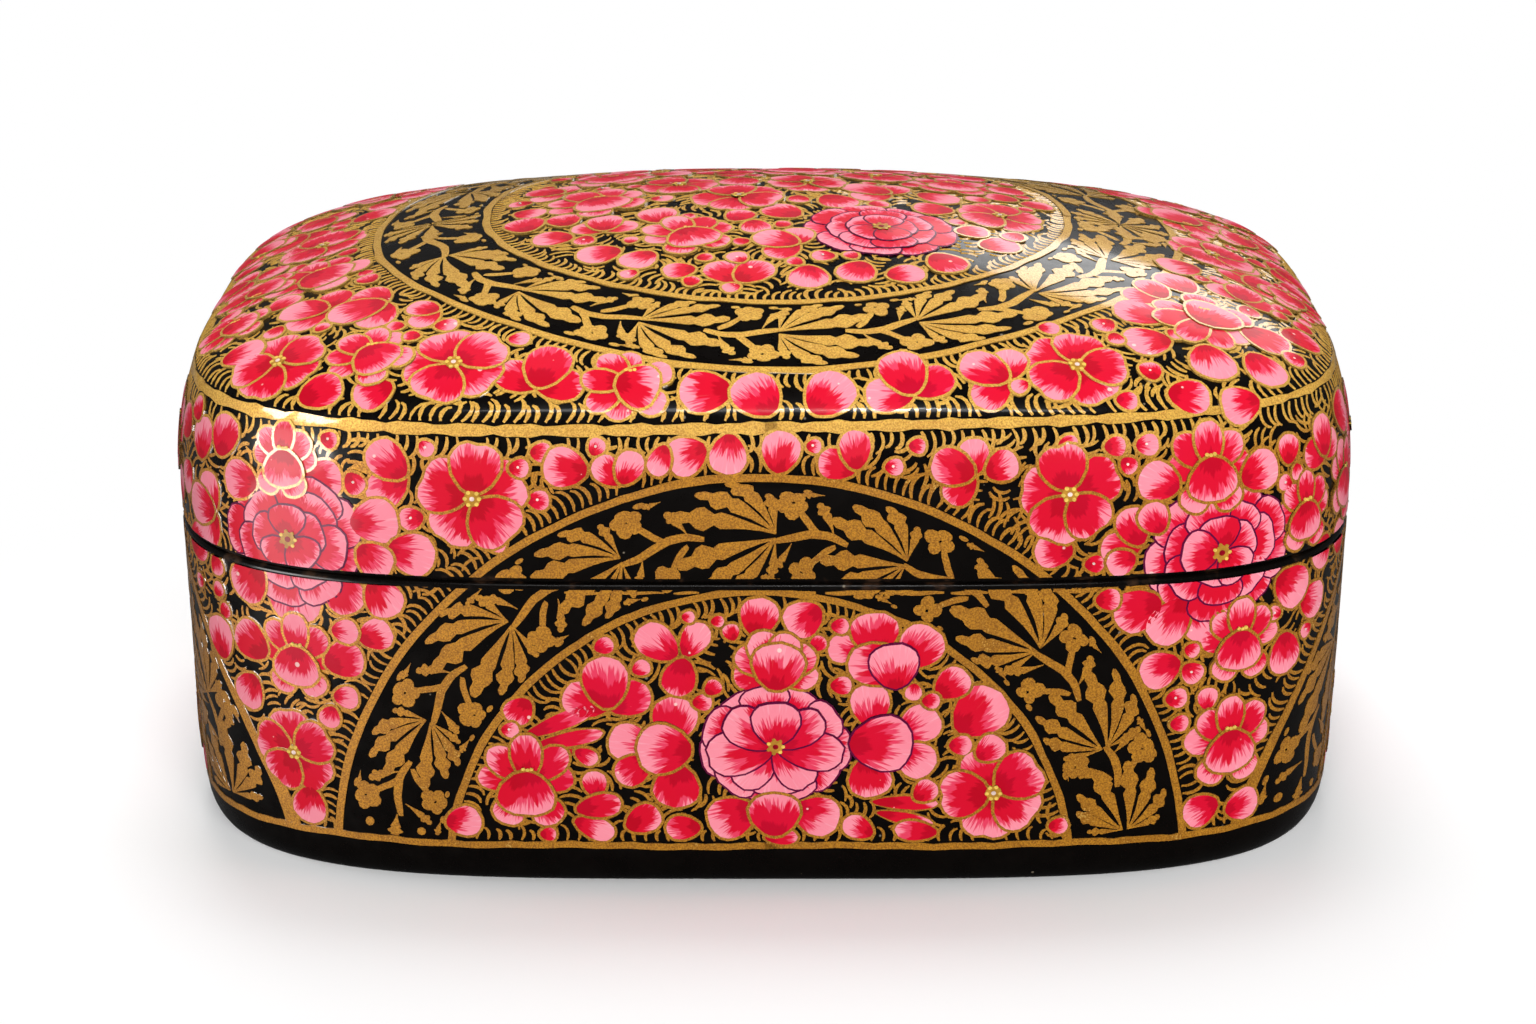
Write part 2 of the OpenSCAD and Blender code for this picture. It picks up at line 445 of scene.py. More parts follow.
class PaintLayer:
    """Collects the tiles of one kind of paint, and makes them into pieces on the lid and the base."""

    def __init__(self, name: str, form: BoxForm, girth: Girth, atlas: Atlas,
                 finish: Material, halves: bool = True) -> None:
        self.name, self.form, self.girth, self.atlas = name, form, girth, atlas
        self.finish, self.halves = finish, halves
        self.points: list[Array] = []
        self.tiles: list[Tile] = []
        self.tones: list[tuple[float, float]] = []

    def lay(self, tile: Tile, place: Placer, tone: tuple[float, float] = (0.5, 0.5)) -> None:
        """Adds a tile where place puts it, with two values that tell its material how to paint it."""
        self.points.append(place(tile.flat))
        self.tiles.append(tile)
        self.tones.append(tone)

    def make_pieces(self) -> None:
        """Settles every tile, shares them out over lid and base and makes one piece of each share."""
        sizes = np.array([len(p) for p in self.points])
        starts = np.cumsum(sizes) - sizes
        laid = self._settle(starts)
        for share, indices in sorted(self._share_out(laid, starts, sizes).items()):
            body = "base" if share.startswith("base") else "lid"
            self._piece(f"{self.name}_{share}", body, indices, starts, laid)

    def _settle(self, starts: Array) -> Array:
        """Returns where all tiles' points lie on the skin, and turns every tile face up."""
        skin, normal = self.form.settle(np.concatenate(self.points))
        laid = skin + normal * np.concatenate([tile.lift for tile in self.tiles])[:, None]
        first = np.array([tile.tops[0][:3] for tile in self.tiles]) + starts[:, None]
        a, b, c = (laid[first[:, k]] for k in range(3))
        facing = (np.cross(b - a, c - a) * normal[first[:, 0]]).sum(axis=1)
        for tile in (self.tiles[k] for k in np.flatnonzero(facing < 0)):
            tile.tops = [face[::-1] for face in tile.tops]
            tile.unders = [face[::-1] for face in tile.unders]
        return laid

    def _share_out(self, laid: Array, starts: Array, sizes: Array) -> dict[str, list[int]]:
        """Returns which tiles lie on each side of the crown, of the lid's wall and of the base."""
        low = np.minimum.reduceat(laid[:, 2], starts)
        high = np.maximum.reduceat(laid[:, 2], starts)
        deep = np.add.reduceat(laid[:, 1], starts) / sizes
        shares: dict[str, list[int]] = {}
        for index in range(len(self.tiles)):
            side = ("front" if deep[index] < 0 else "back") if self.halves else "round"
            crown = self.halves and low[index] > self.form.shoulder_z - 1
            if high[index] > self.form.rim_z:
                shares.setdefault(f"{'crown' if crown else 'lid'}_{side}", []).append(index)
            if low[index] < self.form.rim_z:
                shares.setdefault(f"base_{side}", []).append(index)
        return shares

    def _piece(self, name: str, body: str, indices: list[int], starts: Array,
               laid: Array) -> None:
        """Makes one piece.

        Args:
            name: The piece's name.
            body: The body it rides on.
            indices: Which tiles it holds.
            starts: Where each tile's points start in laid.
            laid: All tiles' points.
        """
        cells = math.ceil(math.sqrt(len(indices)))
        verts, faces, atlas, brush, tones = [], [], [], [], []
        count = 0
        for order, index in enumerate(indices):
            tile = self.tiles[index]
            points = laid[starts[index]:starts[index] + len(tile.flat)]
            if self.atlas is Atlas.CELLS:
                spot = self._in_cell(tile.flat, np.array([order % cells, order // cells])) / cells
            else:
                spot = self._as_laid(points, name)
            drawn = tile.brush if tile.brush is not None else tile.flat
            for group, hidden in ((tile.tops, False), (tile.unders, True)):
                for face in group:
                    faces.append([v + count for v in face])
                    for v in face:
                        atlas.append(UNSEEN if hidden else spot[v])
                        brush.append(drawn[v])
                        tones.append(self.tones[index])
            verts.append(points)
            count += len(points)
        mesh = bpy.data.meshes.new(name)
        mesh.from_pydata((np.concatenate(verts) * MM).tolist(), [], faces)
        for label, values in (("OFBake", atlas), ("brush", brush), ("tone", tones)):
            layer = mesh.uv_layers.new(name=label)
            layer.data.foreach_set("uv", np.array(values, dtype=np.float32).ravel())
        self._cut_at_rim(mesh, body)
        mesh.validate()
        self._smooth(mesh)
        mesh.materials.append(self.finish)
        piece = new_object(name, mesh)
        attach(piece, body)
        log.info("%s: %d tiles, %d faces", name, len(indices), len(mesh.polygons))

    @staticmethod
    def _in_cell(flat: Array, cell: Array, margin: float = 0.06) -> Array:
        """Returns a tile's points spread over its own cell of the bake, inside a margin."""
        low, high = flat.min(axis=0), flat.max(axis=0)
        spread = (flat - low) / max(float((high - low).max()), 1e-6)
        return cell + margin + (1 - 2 * margin) * spread

    def _as_laid(self, points: Array, name: str) -> Array:
        """Returns the points' places in the bake, as they lie on that side of the wall or of the crown."""
        back = name.endswith("back")
        half_w, half_d, whole = self.form.half_w, self.form.half_d, self.girth.whole
        if "crown" in name:
            deep = points[:, 1] if back else -points[:, 1]
            return np.stack([points[:, 0] / (2.1 * half_w) + 0.5, deep / (1.12 * half_d) + 0.06], axis=1)
        u = (self.girth.of_points(points) + (0 if back else whole / 2)) % whole - whole / 2
        low, tall = (39.5, 22.0) if "lid" in name else (0.0, 42.0)
        return np.stack([u / (0.56 * whole) + 0.5, (points[:, 2] - low) / tall], axis=1)

    def _smooth(self, mesh: bpy.types.Mesh) -> None:
        """Shades the paint as if it followed the skin exactly."""
        mesh.shade_smooth()
        spots = np.empty(len(mesh.vertices) * 3, dtype=np.float32)
        mesh.vertices.foreach_get("co", spots)
        spots = spots.reshape(-1, 3).astype(float) / MM
        slopes = self.form.slope(spots, self.form.beyond(spots))
        slopes /= np.linalg.norm(slopes, axis=1)[:, None]
        mesh.normals_split_custom_set_from_vertices(slopes.tolist())

    def _cut_at_rim(self, mesh: bpy.types.Mesh, body: str, gap: float = 0.04) -> None:
        """Cuts away what reaches past the rim or within gap of its rounding, and closes the cut."""
        keep_up = body == "lid"
        back = self.form.rim_round + gap
        z = (self.form.rim_z + (back if keep_up else -back)) * MM
        work = bmesh.new()
        work.from_mesh(mesh)
        over = [v for v in work.verts if (v.co.z < z if keep_up else v.co.z > z)]
        if over:
            seen, stack = set(over), list(over)
            while stack:
                for edge in stack.pop().link_edges:
                    for other in edge.verts:
                        if other not in seen:
                            seen.add(other)
                            stack.append(other)
            verts = sorted(seen, key=lambda v: v.index)
            edges = dict.fromkeys(e for v in verts for e in v.link_edges)
            faces = dict.fromkeys(f for v in verts for f in v.link_faces)
            cut = bmesh.ops.bisect_plane(work, geom=[*verts, *edges, *faces], plane_co=(0, 0, z),
                                         plane_no=(0, 0, 1), clear_inner=keep_up,
                                         clear_outer=not keep_up, dist=1e-8)
            rim = [e for e in cut["geom_cut"] if isinstance(e, bmesh.types.BMEdge) and e.is_boundary]
            bmesh.ops.holes_fill(work, edges=rim, sides=0)
            work.to_mesh(mesh)
        work.free()


# --- Shaders ---


class Graph:
    """Adds nodes to one node tree and joins them."""

    def __init__(self, tree: bpy.types.NodeTree) -> None:
        self.tree = tree

    def feed(self, node: bpy.types.Node, sockets: dict) -> None:
        """Gives a node's inputs, named or numbered, values or other nodes' outputs."""
        for key, value in sockets.items():
            if isinstance(value, Socket):
                self.tree.links.new(value, node.inputs[key])
            else:
                node.inputs[key].default_value = value

    def add(self, kind: str, sockets: dict | None = None, **settings) -> bpy.types.Node:
        """Adds a node.

        Args:
            kind: The node's type.
            sockets: What each input, named or numbered, takes: a value, or another node's output.
            **settings: The node's own properties.

        Returns:
            The node.
        """
        node = self.tree.nodes.new(kind)
        for key, value in settings.items():
            setattr(node, key, value)
        self.feed(node, sockets or {})
        return node

    def sums(self, operation: str, a: Value, b: Value = 0.0, c: Value = 0.0) -> Socket:
        """Returns the output of a Math node."""
        return self.add("ShaderNodeMath", {0: a, 1: b, 2: c}, operation=operation).outputs[0]

    def times(self, a: Value, b: Value) -> Socket:
        """Returns a times b."""
        return self.sums("MULTIPLY", a, b)

    def plus(self, a: Value, b: Value) -> Socket:
        """Returns a plus b."""
        return self.sums("ADD", a, b)

    def minus(self, a: Value, b: Value) -> Socket:
        """Returns a less b."""
        return self.sums("SUBTRACT", a, b)

    def swing(self, value: Socket, by: float) -> Socket:
        """Returns noise brought from round 0.5 to round 0, and made stronger or weaker."""
        return self.times(self.minus(value, 0.5), by)

    def ease(self, value: Value, low: Value, high: Value, start: float = 0.0, end: float = 1.0) -> Socket:
        """Returns value brought smoothly from the range low to high into start to end."""
        sockets = {"Value": value, "From Min": low, "From Max": high, "To Min": start, "To Max": end}
        return self.add("ShaderNodeMapRange", sockets, interpolation_type="SMOOTHSTEP").outputs[0]

    def noise(self, vector: Socket, scale: Value, detail: float = 2.0, rough: float = 0.5,
              twist: float = 0.0) -> Socket:
        """Returns the value of a Noise Texture."""
        sockets = {"Vector": vector, "Scale": scale, "Detail": detail, "Roughness": rough,
                   "Distortion": twist}
        return self.add("ShaderNodeTexNoise", sockets).outputs[0]

    def stretched_noise(self, place: Socket, scale: tuple[float, float, float], detail: float,
                        rough: float = 0.5) -> Socket:
        """Returns noise whose grain is of another size along each axis."""
        spot = self.add("ShaderNodeMapping", {0: place, "Scale": scale}).outputs[0]
        return self.noise(spot, 1.0, detail, rough)

    def mix(self, share: Value, a: Socket | Colour, b: Socket | Colour, blend: str = "MIX") -> Socket:
        """Returns the colour that lies the given share of the way from a to b."""
        node = self.add("ShaderNodeMix", {0: share, 6: a, 7: b}, data_type="RGBA", blend_type=blend)
        return node.outputs[2]

    def join(self, x: Value, y: Value, z: Value) -> Socket:
        """Returns a vector made of three values."""
        return self.add("ShaderNodeCombineXYZ", {0: x, 1: y, 2: z}).outputs[0]

    def split(self, vector: Socket) -> bpy.types.NodeOutputs:
        """Returns the three values of a vector."""
        return self.add("ShaderNodeSeparateXYZ", {0: vector}).outputs

    def place(self) -> Socket:
        """Returns the object's own coordinates."""
        return self.add("ShaderNodeTexCoord").outputs["Object"]

    def marks(self, name: str) -> bpy.types.NodeOutputs:
        """Returns the two values that tiles carry under that name, of the tile or of its points."""
        return self.split(self.add("ShaderNodeUVMap", uv_map=name).outputs[0])


class EffectGroup:
    """A shader node group with named inputs and outputs, built once and used by several finishes."""

    def __init__(self, name: str, inputs: dict[str, float | Colour], outputs: dict[str, str]) -> None:
        self.tree = bpy.data.node_groups.new(name, "ShaderNodeTree")
        for label, default in inputs.items():
            kind = COLOUR if isinstance(default, tuple) else NUMBER
            socket = self.tree.interface.new_socket(name=label, in_out="INPUT", socket_type=kind)
            socket.default_value = default
        for label, kind in outputs.items():
            self.tree.interface.new_socket(name=label, in_out="OUTPUT", socket_type=kind)
        self.graph = Graph(self.tree)
        self.given = self.tree.nodes.new("NodeGroupInput").outputs
        self.taken = self.tree.nodes.new("NodeGroupOutput")

    def give(self, **outputs: Socket) -> None:
        """Joins values to the group's outputs of those names."""
        self.graph.feed(self.taken, outputs)

    def use(self, graph: Graph, **values: Value | Colour) -> bpy.types.NodeOutputs:
        """Puts the group in a material with its own values, and returns its outputs."""
        return graph.add("ShaderNodeGroup", values, node_tree=self.tree).outputs


class Effects:
    """The effects that several finishes share."""

    def __init__(self) -> None:
        self.swell = self._lacquer_swell()
        self.grain = self._powder_grain()
        self.strokes = self._petal_strokes()
        self.dust = self._dust()

    @staticmethod
    def _lacquer_swell() -> EffectGroup:
        """Returns the slow waves of hand-laid lacquer, and the finer ones of the brushwork beneath it."""
        group = EffectGroup("lacquer_swell", {"Wave": 190.0, "Fine": 900.0, "Fine Share": 0.25},
                            {"Height": NUMBER})
        graph, given = group.graph, group.given
        place = graph.place()
        wave = graph.noise(place, given["Wave"], 1.5)
        fine = graph.noise(place, given["Fine"], 2.0)
        group.give(Height=graph.plus(wave, graph.times(fine, given["Fine Share"])))
        return group

    @staticmethod
    def _powder_grain() -> EffectGroup:
        """Returns metal powder paint: its grains, its thin places and its bright grains."""
        group = EffectGroup("powder_grain", {"Grain": 4600.0, "Patch": 260.0},
                            {"Grains": NUMBER, "Thin": NUMBER, "Glints": NUMBER})
        graph, given = group.graph, group.given
        place = graph.place()
        grains = graph.noise(place, given["Grain"], 3.0, 0.7)
        patch = graph.noise(place, given["Patch"], 3.0, 0.6)
        group.give(Grains=graph.ease(grains, 0.32, 0.66), Thin=graph.ease(patch, 0.42, 0.66),
                   Glints=graph.ease(graph.times(grains, patch), 0.36, 0.46))
        return group

    @staticmethod
    def _dust() -> EffectGroup:
        """Returns scattered specks: dust under the lacquer and small nicks in it."""
        group = EffectGroup("dust_specks", {"Scale": 420.0, "Amount": 0.5}, {"Specks": NUMBER})
        graph, given = group.graph, group.given
        cell = graph.add("ShaderNodeTexVoronoi", {"Vector": graph.place(), "Scale": given["Scale"]})
        pick = graph.add("ShaderNodeSeparateColor", {0: cell.outputs["Color"]}).outputs[0]
        size = graph.times(graph.sums("POWER", pick, 9.0), given["Amount"])
        group.give(Specks=graph.ease(graph.minus(size, cell.outputs["Distance"]), 0.0, 0.06))
        return group

    @staticmethod
    def _petal_strokes() -> EffectGroup:
        """Returns the brushwork of a petal: flames of crimson drawn from its foot over pink."""
        colours = {"Tip": (1.0, 0.5, 0.6, 1.0), "Middle": (0.9, 0.1, 0.2, 1.0),
                   "Flame": (0.7, 0.0, 0.05, 1.0), "Core": (0.3, 0.0, 0.01, 1.0)}
        group = EffectGroup("petal_brushwork",
                            {"Along": 0.5, "Across": 0.0, "Seed": 0.5, "Warmth": 0.5, **colours},
                            {"Color": COLOUR, "Height": NUMBER})
        graph, given = group.graph, group.given
        seed = graph.times(given["Seed"], 61.0)
        across, along = given["Across"], given["Along"]

        def streaks(scale: float, run: float, shift: float, detail: float) -> Socket:
            """Returns noise that runs out from the petal's foot in streaks."""
            spot = graph.join(graph.sums("MULTIPLY_ADD", across, scale, seed), graph.times(along, run),
                              graph.plus(seed, shift))
            return graph.noise(spot, 1.0, detail, 0.55)

        broad = streaks(1.6, 0.6, 3.0, 1.0)
        flames = streaks(7.5, 0.8, 11.0, 2.5)
        hairs = streaks(19.0, 1.3, 23.0, 2.0)
        slant = graph.times(graph.times(across, 0.34),
                            graph.minus(graph.sums("FRACT", graph.times(seed, 7.3)), 0.5))
        reach = graph.plus(graph.sums("MULTIPLY_ADD", given["Warmth"], 0.62, 0.27), slant)
        reach = graph.plus(reach, graph.swing(broad, 0.7))
        jag = graph.plus(reach, graph.swing(flames, 0.85))
        fray = graph.plus(reach, graph.swing(hairs, 1.0))
        hot = graph.ease(graph.minus(graph.plus(fray, 0.14), along), -0.04, 0.1)
        flame = graph.ease(graph.minus(jag, along), -0.02, 0.04)
        core = graph.ease(graph.minus(graph.times(jag, 0.52), along), -0.03, 0.06)
        pale = graph.times(graph.ease(hairs, 0.5, 0.75), graph.ease(along, 0.45, 1.0))
        colour = graph.mix(graph.times(pale, 0.35), given["Tip"], (1.0, 0.72, 0.78, 1.0))
        colour = graph.mix(graph.times(hot, 0.86), colour, given["Middle"])
        colour = graph.mix(graph.times(flame, 0.92), colour, given["Flame"])
        colour = graph.mix(graph.times(core, 0.5), colour, given["Core"])
        group.give(Color=colour, Height=graph.times(hairs, 0.6))
        return group


def empty_graph(owner: Material | bpy.types.World) -> Graph:
    """Returns the graph of a material or a world, with no nodes in it."""
    owner.use_nodes = True
    owner.node_tree.nodes.clear()
    return Graph(owner.node_tree)


def new_material(name: str) -> tuple[Material, Graph, bpy.types.Node]:
    """Returns a new material with its graph and its shader."""
    material = bpy.data.materials.new(name)
    graph = empty_graph(material)
    shader = graph.add("ShaderNodeBsdfPrincipled")
    graph.add("ShaderNodeOutputMaterial", {0: shader.outputs[0]})
    return material, graph, shader


def lacquer(weight: float, rough: float) -> dict[str, float]:
    """Returns the shader values of clear lacquer over paint that has hardly any shine of its own."""
    return {"Specular IOR Level": 0.12, "Coat Weight": weight, "Coat IOR": 1.33, "Coat Roughness": rough}


def bump(graph: Graph, shader: bpy.types.Node, height: Socket, depth_mm: float) -> None:
    """Joins a height to a shader's normal, at a depth in millimetres."""
    node = graph.add("ShaderNodeBump", {"Height": height, "Distance": depth_mm * MM, "Strength": 1.0})
    graph.feed(shader, {"Normal": node.outputs[0]})


@dataclass(frozen=True)
class PetalPaint:
    """Opaque colour laid in strokes: light pink tips, hot pink, crimson flames and dark hearts."""

    tip: Colour = srgb(250, 146, 162)
    middle: Colour = srgb(230, 34, 78)
    flame: Colour = srgb(214, 3, 36)
    core: Colour = srgb(150, 0, 16)
    glaze: Colour = srgb(228, 20, 84)
    speck: Colour = srgb(255, 226, 216)
    coat: float = 0.38
    coat_rough: float = 0.11

    def make(self, effects: Effects) -> Material:
        """Returns the material."""
        material, graph, shader = new_material("petal_paint")
        brush, tone = graph.marks("brush"), graph.marks("tone")
        out = effects.strokes.use(graph, Across=brush[0], Along=brush[1], Seed=tone[0], Warmth=tone[1],
                                  Tip=self.tip, Middle=self.middle, Flame=self.flame, Core=self.core)
        drift = graph.noise(graph.place(), 90.0)
        colour = graph.mix(graph.ease(drift, 0.35, 0.75, 0.0, 0.16), out["Color"], self.glaze)
        specks = effects.dust.use(graph, Scale=560.0, Amount=0.24)["Specks"]
        colour = graph.mix(graph.times(specks, 0.7), colour, self.speck)
        graph.feed(shader, {"Base Color": colour, "Roughness": 0.42, **lacquer(self.coat, self.coat_rough)})
        swell = effects.swell.use(graph)["Height"]
        bump(graph, shader, graph.plus(swell, graph.times(out["Height"], 0.3)), 0.07)
        return material


@dataclass(frozen=True)
class GoldPaint:
    """Metal powder paint: ochre gold with brown thin places and bright grains, with lighter gold painted on
    the crown and the shoulder's line as painted light from above.
    """

    body: Colour = srgb(224, 155, 44)
    thin: Colour = srgb(150, 92, 22)
    bright: Colour = srgb(252, 214, 120)
    # Painted highlight: lighter gold for the crown and the shoulder's line, standing for light that falls
    # from above.
    crown_lit_body: Colour = srgb(255, 206, 92)
    crown_lit_thin: Colour = srgb(204, 142, 54)
    lit_gold_from: float = 54.0
    lit_gold_full: float = 60.0
    metal: float = 0.28
    coat_ior: float = 1.6
    coat_rough: float = 0.09

    def make(self, effects: Effects) -> Material:
        """Returns the material."""
        material, graph, shader = new_material("gold_paint")
        grain = effects.grain.use(graph)
        # Painted light: the gold turns lighter from high on the lid's wall, over the shoulder's line and
        # onto the crown, as if lit from above.
        up = graph.ease(graph.split(graph.place())[2], self.lit_gold_from * MM, self.lit_gold_full * MM)
        body = graph.mix(up, self.body, self.crown_lit_body)
        thin = graph.mix(up, self.thin, self.crown_lit_thin)
        colour = graph.mix(grain["Grains"], thin, body)
        colour = graph.mix(graph.times(grain["Thin"], 0.3), colour, thin)
        colour = graph.mix(graph.times(grain["Glints"], 0.7), colour, self.bright)
        graph.feed(shader, {"Base Color": colour, "Metallic": self.metal,
                            "Roughness": graph.ease(grain["Grains"], 0.0, 1.0, 0.58, 0.4),
                            "Coat Weight": 1.0, "Coat IOR": self.coat_ior,
                            "Coat Roughness": self.coat_rough})
        swell = effects.swell.use(graph)["Height"]
        bump(graph, shader, graph.plus(swell, graph.times(grain["Grains"], 0.14)), 0.06)
        return material


class FineTone(Enum):
    """The colours of the finest brush, as places on its colour ramp."""

    PURPLE = 0.1
    CRIMSON = 0.3
    YELLOW = 0.5
    WHITE = 0.7
    GOLD = 0.9


@dataclass(frozen=True)
class FinePaint:
    """The finest brush: purple outlines, yellow, white and gold dots, crimson hearts."""

    colours: tuple[Colour, ...] = (
        srgb(104, 14, 62), srgb(150, 6, 28), srgb(246, 206, 96), srgb(255, 228, 218), srgb(196, 142, 52))
    shade: Colour = srgb(60, 8, 30)
    coat: float = 0.5
    coat_rough: float = 0.11

    def make(self, effects: Effects) -> Material:
        """Returns the material."""
        material, graph, shader = new_material("fine_brush_paint")
        ramp = graph.add("ShaderNodeValToRGB", {0: graph.marks("tone")[0]})
        ramp.color_ramp.interpolation = "CONSTANT"
        stops = ramp.color_ramp.elements
        for index, colour in enumerate(self.colours):
            low = index / len(self.colours)
            stop = stops[index] if index < len(stops) else stops.new(low)
            stop.position, stop.color = low, colour
        share = graph.ease(graph.noise(graph.place(), 1400.0), 0.3, 0.7, 0.0, 0.3)
        colour = graph.mix(share, ramp.outputs[0], self.shade, "MULTIPLY")
        graph.feed(shader, {"Base Color": colour, "Roughness": 0.4, **lacquer(self.coat, self.coat_rough)})
        bump(graph, shader, effects.swell.use(graph)["Height"], 0.06)
        return material


@dataclass(frozen=True)
class BlackLacquer:
    """Black lacquer over moulded pulp: slow waves, dust, rubbed brown rims and small pale nicks."""

    name: str
    rim_low: float
    rim_high: float
    black: Colour = srgb(6, 4, 3)
    cloudy: Colour = srgb(13, 9, 7)
    rubbed: Colour = srgb(58, 38, 24)
    nick: Colour = srgb(150, 138, 120)
    rim_blend: float = 0.0006
    coat: float = 0.6
    coat_rough: float = 0.09

    def make(self, effects: Effects) -> Material:
        """Returns the material."""
        material, graph, shader = new_material(self.name)
        place = graph.place()
        height = graph.split(place)[2]
        cloud = graph.noise(place, 340.0, 4.0, 0.6)
        near = graph.times(graph.ease(height, self.rim_low - self.rim_blend, self.rim_low),
                           graph.ease(height, self.rim_high + self.rim_blend, self.rim_high))
        rub = graph.times(near, graph.ease(cloud, 0.56, 0.7))
        specks = effects.dust.use(graph, Scale=420.0, Amount=0.13)["Specks"]
        colour = graph.mix(graph.ease(cloud, 0.3, 0.8, 0.0, 0.6), self.black, self.cloudy)
        colour = graph.mix(graph.times(rub, 0.8), colour, self.rubbed)
        colour = graph.mix(graph.times(specks, 0.7), colour, self.nick)
        rough = graph.plus(graph.ease(cloud, 0.3, 0.8, 0.24, 0.4), graph.times(rub, 0.3))
        graph.feed(shader, {"Base Color": colour, "Roughness": rough,
                            **lacquer(self.coat, self.coat_rough)})
        swell = effects.swell.use(graph)["Height"]
        bump(graph, shader, graph.minus(swell, graph.times(specks, 0.2)), 0.06)
        return material


@dataclass(frozen=True)
class LiningPaper:
    """Pasted paper under satin black lacquer: felted fibres, slow cockles and brush marks."""

    black: Colour = srgb(24, 20, 19)
    brown: Colour = srgb(52, 36, 28)
    deep: Colour = srgb(12, 10, 10)
    speck: Colour = srgb(120, 110, 98)
    coat: float = 0.35
    coat_rough: float = 0.25

    def make(self, effects: Effects) -> Material:
        """Returns the material."""
        material, graph, shader = new_material("lining_paper")
        place = graph.place()
        fibre = graph.noise(place, 1500.0, 4.0, 0.65, 1.6)
        cockle = graph.noise(place, 60.0)
        marks = graph.stretched_noise(place, (30.0, 600.0, 900.0), 3.0, 0.6)
        colour = graph.mix(graph.ease(fibre, 0.45, 0.8, 0.0, 0.6), self.black, self.brown)
        colour = graph.mix(graph.ease(marks, 0.4, 0.75, 0.0, 0.35), colour, self.deep)
        specks = effects.dust.use(graph, Scale=760.0, Amount=0.2)["Specks"]
        colour = graph.mix(graph.times(specks, 0.4), colour, self.speck)
        graph.feed(shader, {"Base Color": colour, "Roughness": graph.ease(marks, 0.3, 0.8, 0.36, 0.62),
                            "Coat Weight": self.coat, "Coat Roughness": self.coat_rough})
        bump(graph, shader, graph.plus(graph.times(cockle, 3.0), graph.times(fibre, 0.35)), 0.12)
        return material


@dataclass(frozen=True)
class CollarBoard:
    """Laminated board: black lacquer rubbed through to brown along its top edge, with its plies showing."""

    top_z: float
    black: Colour = srgb(20, 17, 16)
    slid: Colour = srgb(70, 50, 36)
    board: Colour = srgb(122, 88, 56)
    ply: Colour = srgb(88, 60, 38)
    coat_rough: float = 0.15

    def make(self, effects: Effects) -> Material:
        """Returns the material."""
        material, graph, shader = new_material("collar_board")
        place = graph.place()
        height = graph.split(place)[2]
        cloud = graph.noise(place, 300.0, 5.0, 0.65)
        plies = graph.stretched_noise(place, (25.0, 25.0, 2600.0), 2.0)
        edge = graph.ease(graph.sums("MULTIPLY_ADD", cloud, 0.0016, height),
                          (self.top_z - 0.4) * MM, (self.top_z + 1.1) * MM)
        slide = graph.ease(graph.stretched_noise(place, (500.0, 500.0, 60.0), 3.0), 0.55, 0.75)
        colour = graph.mix(graph.times(slide, 0.35), self.black, self.slid)
        colour = graph.mix(edge, colour, graph.mix(graph.ease(plies, 0.35, 0.65), self.board, self.ply))
        rough = graph.plus(graph.ease(cloud, 0.3, 0.8, 0.26, 0.42), graph.times(edge, 0.3))
        graph.feed(shader, {"Base Color": colour, "Roughness": rough,
                            "Coat Weight": graph.ease(edge, 0.0, 1.0, 0.8, 0.1),
                            "Coat Roughness": self.coat_rough})
        bump(graph, shader, graph.plus(effects.swell.use(graph)["Height"], graph.times(plies, 0.3)), 0.06)
        return material


# --- The moulded shells and what is inside them ---


def loft(name: str, levels: list[Array]) -> bpy.types.Object:
    """Skins a closed solid over outlines that run up its outside and down its inside, or back.

    Args:
        name: The piece's name.
        levels: The outlines in order, each an array of (n, 3) in millimetres. Both ends get a face.

    Returns:
        The piece.
    """
    n = len(levels[0])
    along = np.concatenate([[0], np.cumsum([np.linalg.norm(b - a, axis=1).mean()
                                            for a, b in zip(levels, levels[1:])])])
    faces, spots = [], []
    for k in range(len(levels) - 1):
        low, high = along[k] / along[-1], along[k + 1] / along[-1]
        for i in range(n):
            j = (i + 1) % n
            faces.append((k * n + i, k * n + j, (k + 1) * n + j, (k + 1) * n + i))
            spots += [(i / n, low), ((i + 1) / n, low), ((i + 1) / n, high), (i / n, high)]
    faces.append(tuple(reversed(range(n))))
    faces.append(tuple((len(levels) - 1) * n + i for i in range(n)))
    spots += [UNSEEN] * (2 * n)
    mesh = bpy.data.meshes.new(name)
    mesh.from_pydata((np.concatenate(levels) * MM).tolist(), [], faces)
    mesh.uv_layers.new(name="OFBake").data.foreach_set("uv", np.array(spots, dtype=np.float32).ravel())
    mesh.shade_smooth()
    return new_object(name, mesh)


@dataclass(frozen=True)
class MouldedBase:
    """The moulded tub under its paint: rounded black foot, leaning wall and rounded rim."""

    form: BoxForm
    around: int = 240
    collar_depth: float = 6.0

    def levels(self) -> list[Array]:
        """Returns the tub's outlines, up its outside and down its inside."""
        f, n = self.form, self.around
        low = f.floor_t + f.floor_fillet
        inset = float(f.lean(low)) + f.wall_t + f.floor_fillet
        foot = [f.level(n, f.foot_draw + f.foot_inset * (1 - math.sin(a)), f.foot_h * (1 - math.cos(a)))
                for a in np.linspace(0, math.pi / 2, 9)[:-1]]
        floor = [f.level(n, inset - f.floor_fillet * math.cos(a), low - f.floor_fillet * math.sin(a))
                 for a in np.linspace(0, math.pi / 2, 7)[1:]]
        return [*foot,
                *f.wall_levels(n, np.linspace(f.foot_h, f.rim_z - f.rim_round, 12)),
                *f.rim_levels(n, -1),
                f.level(n, f.wall_t, f.rim_z),
                *f.wall_levels(n, np.linspace(f.rim_z - self.collar_depth, low, 6), f.wall_t),
                *floor]

    def build(self, lacquer: Material) -> bpy.types.Object:
        """Returns the tub, lacquered, in place of the part's plain one."""
        piece = loft("moulded_base", self.levels())
        piece.data.materials.append(lacquer)
        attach(piece, "base")
        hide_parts("base_shell")
        return piece


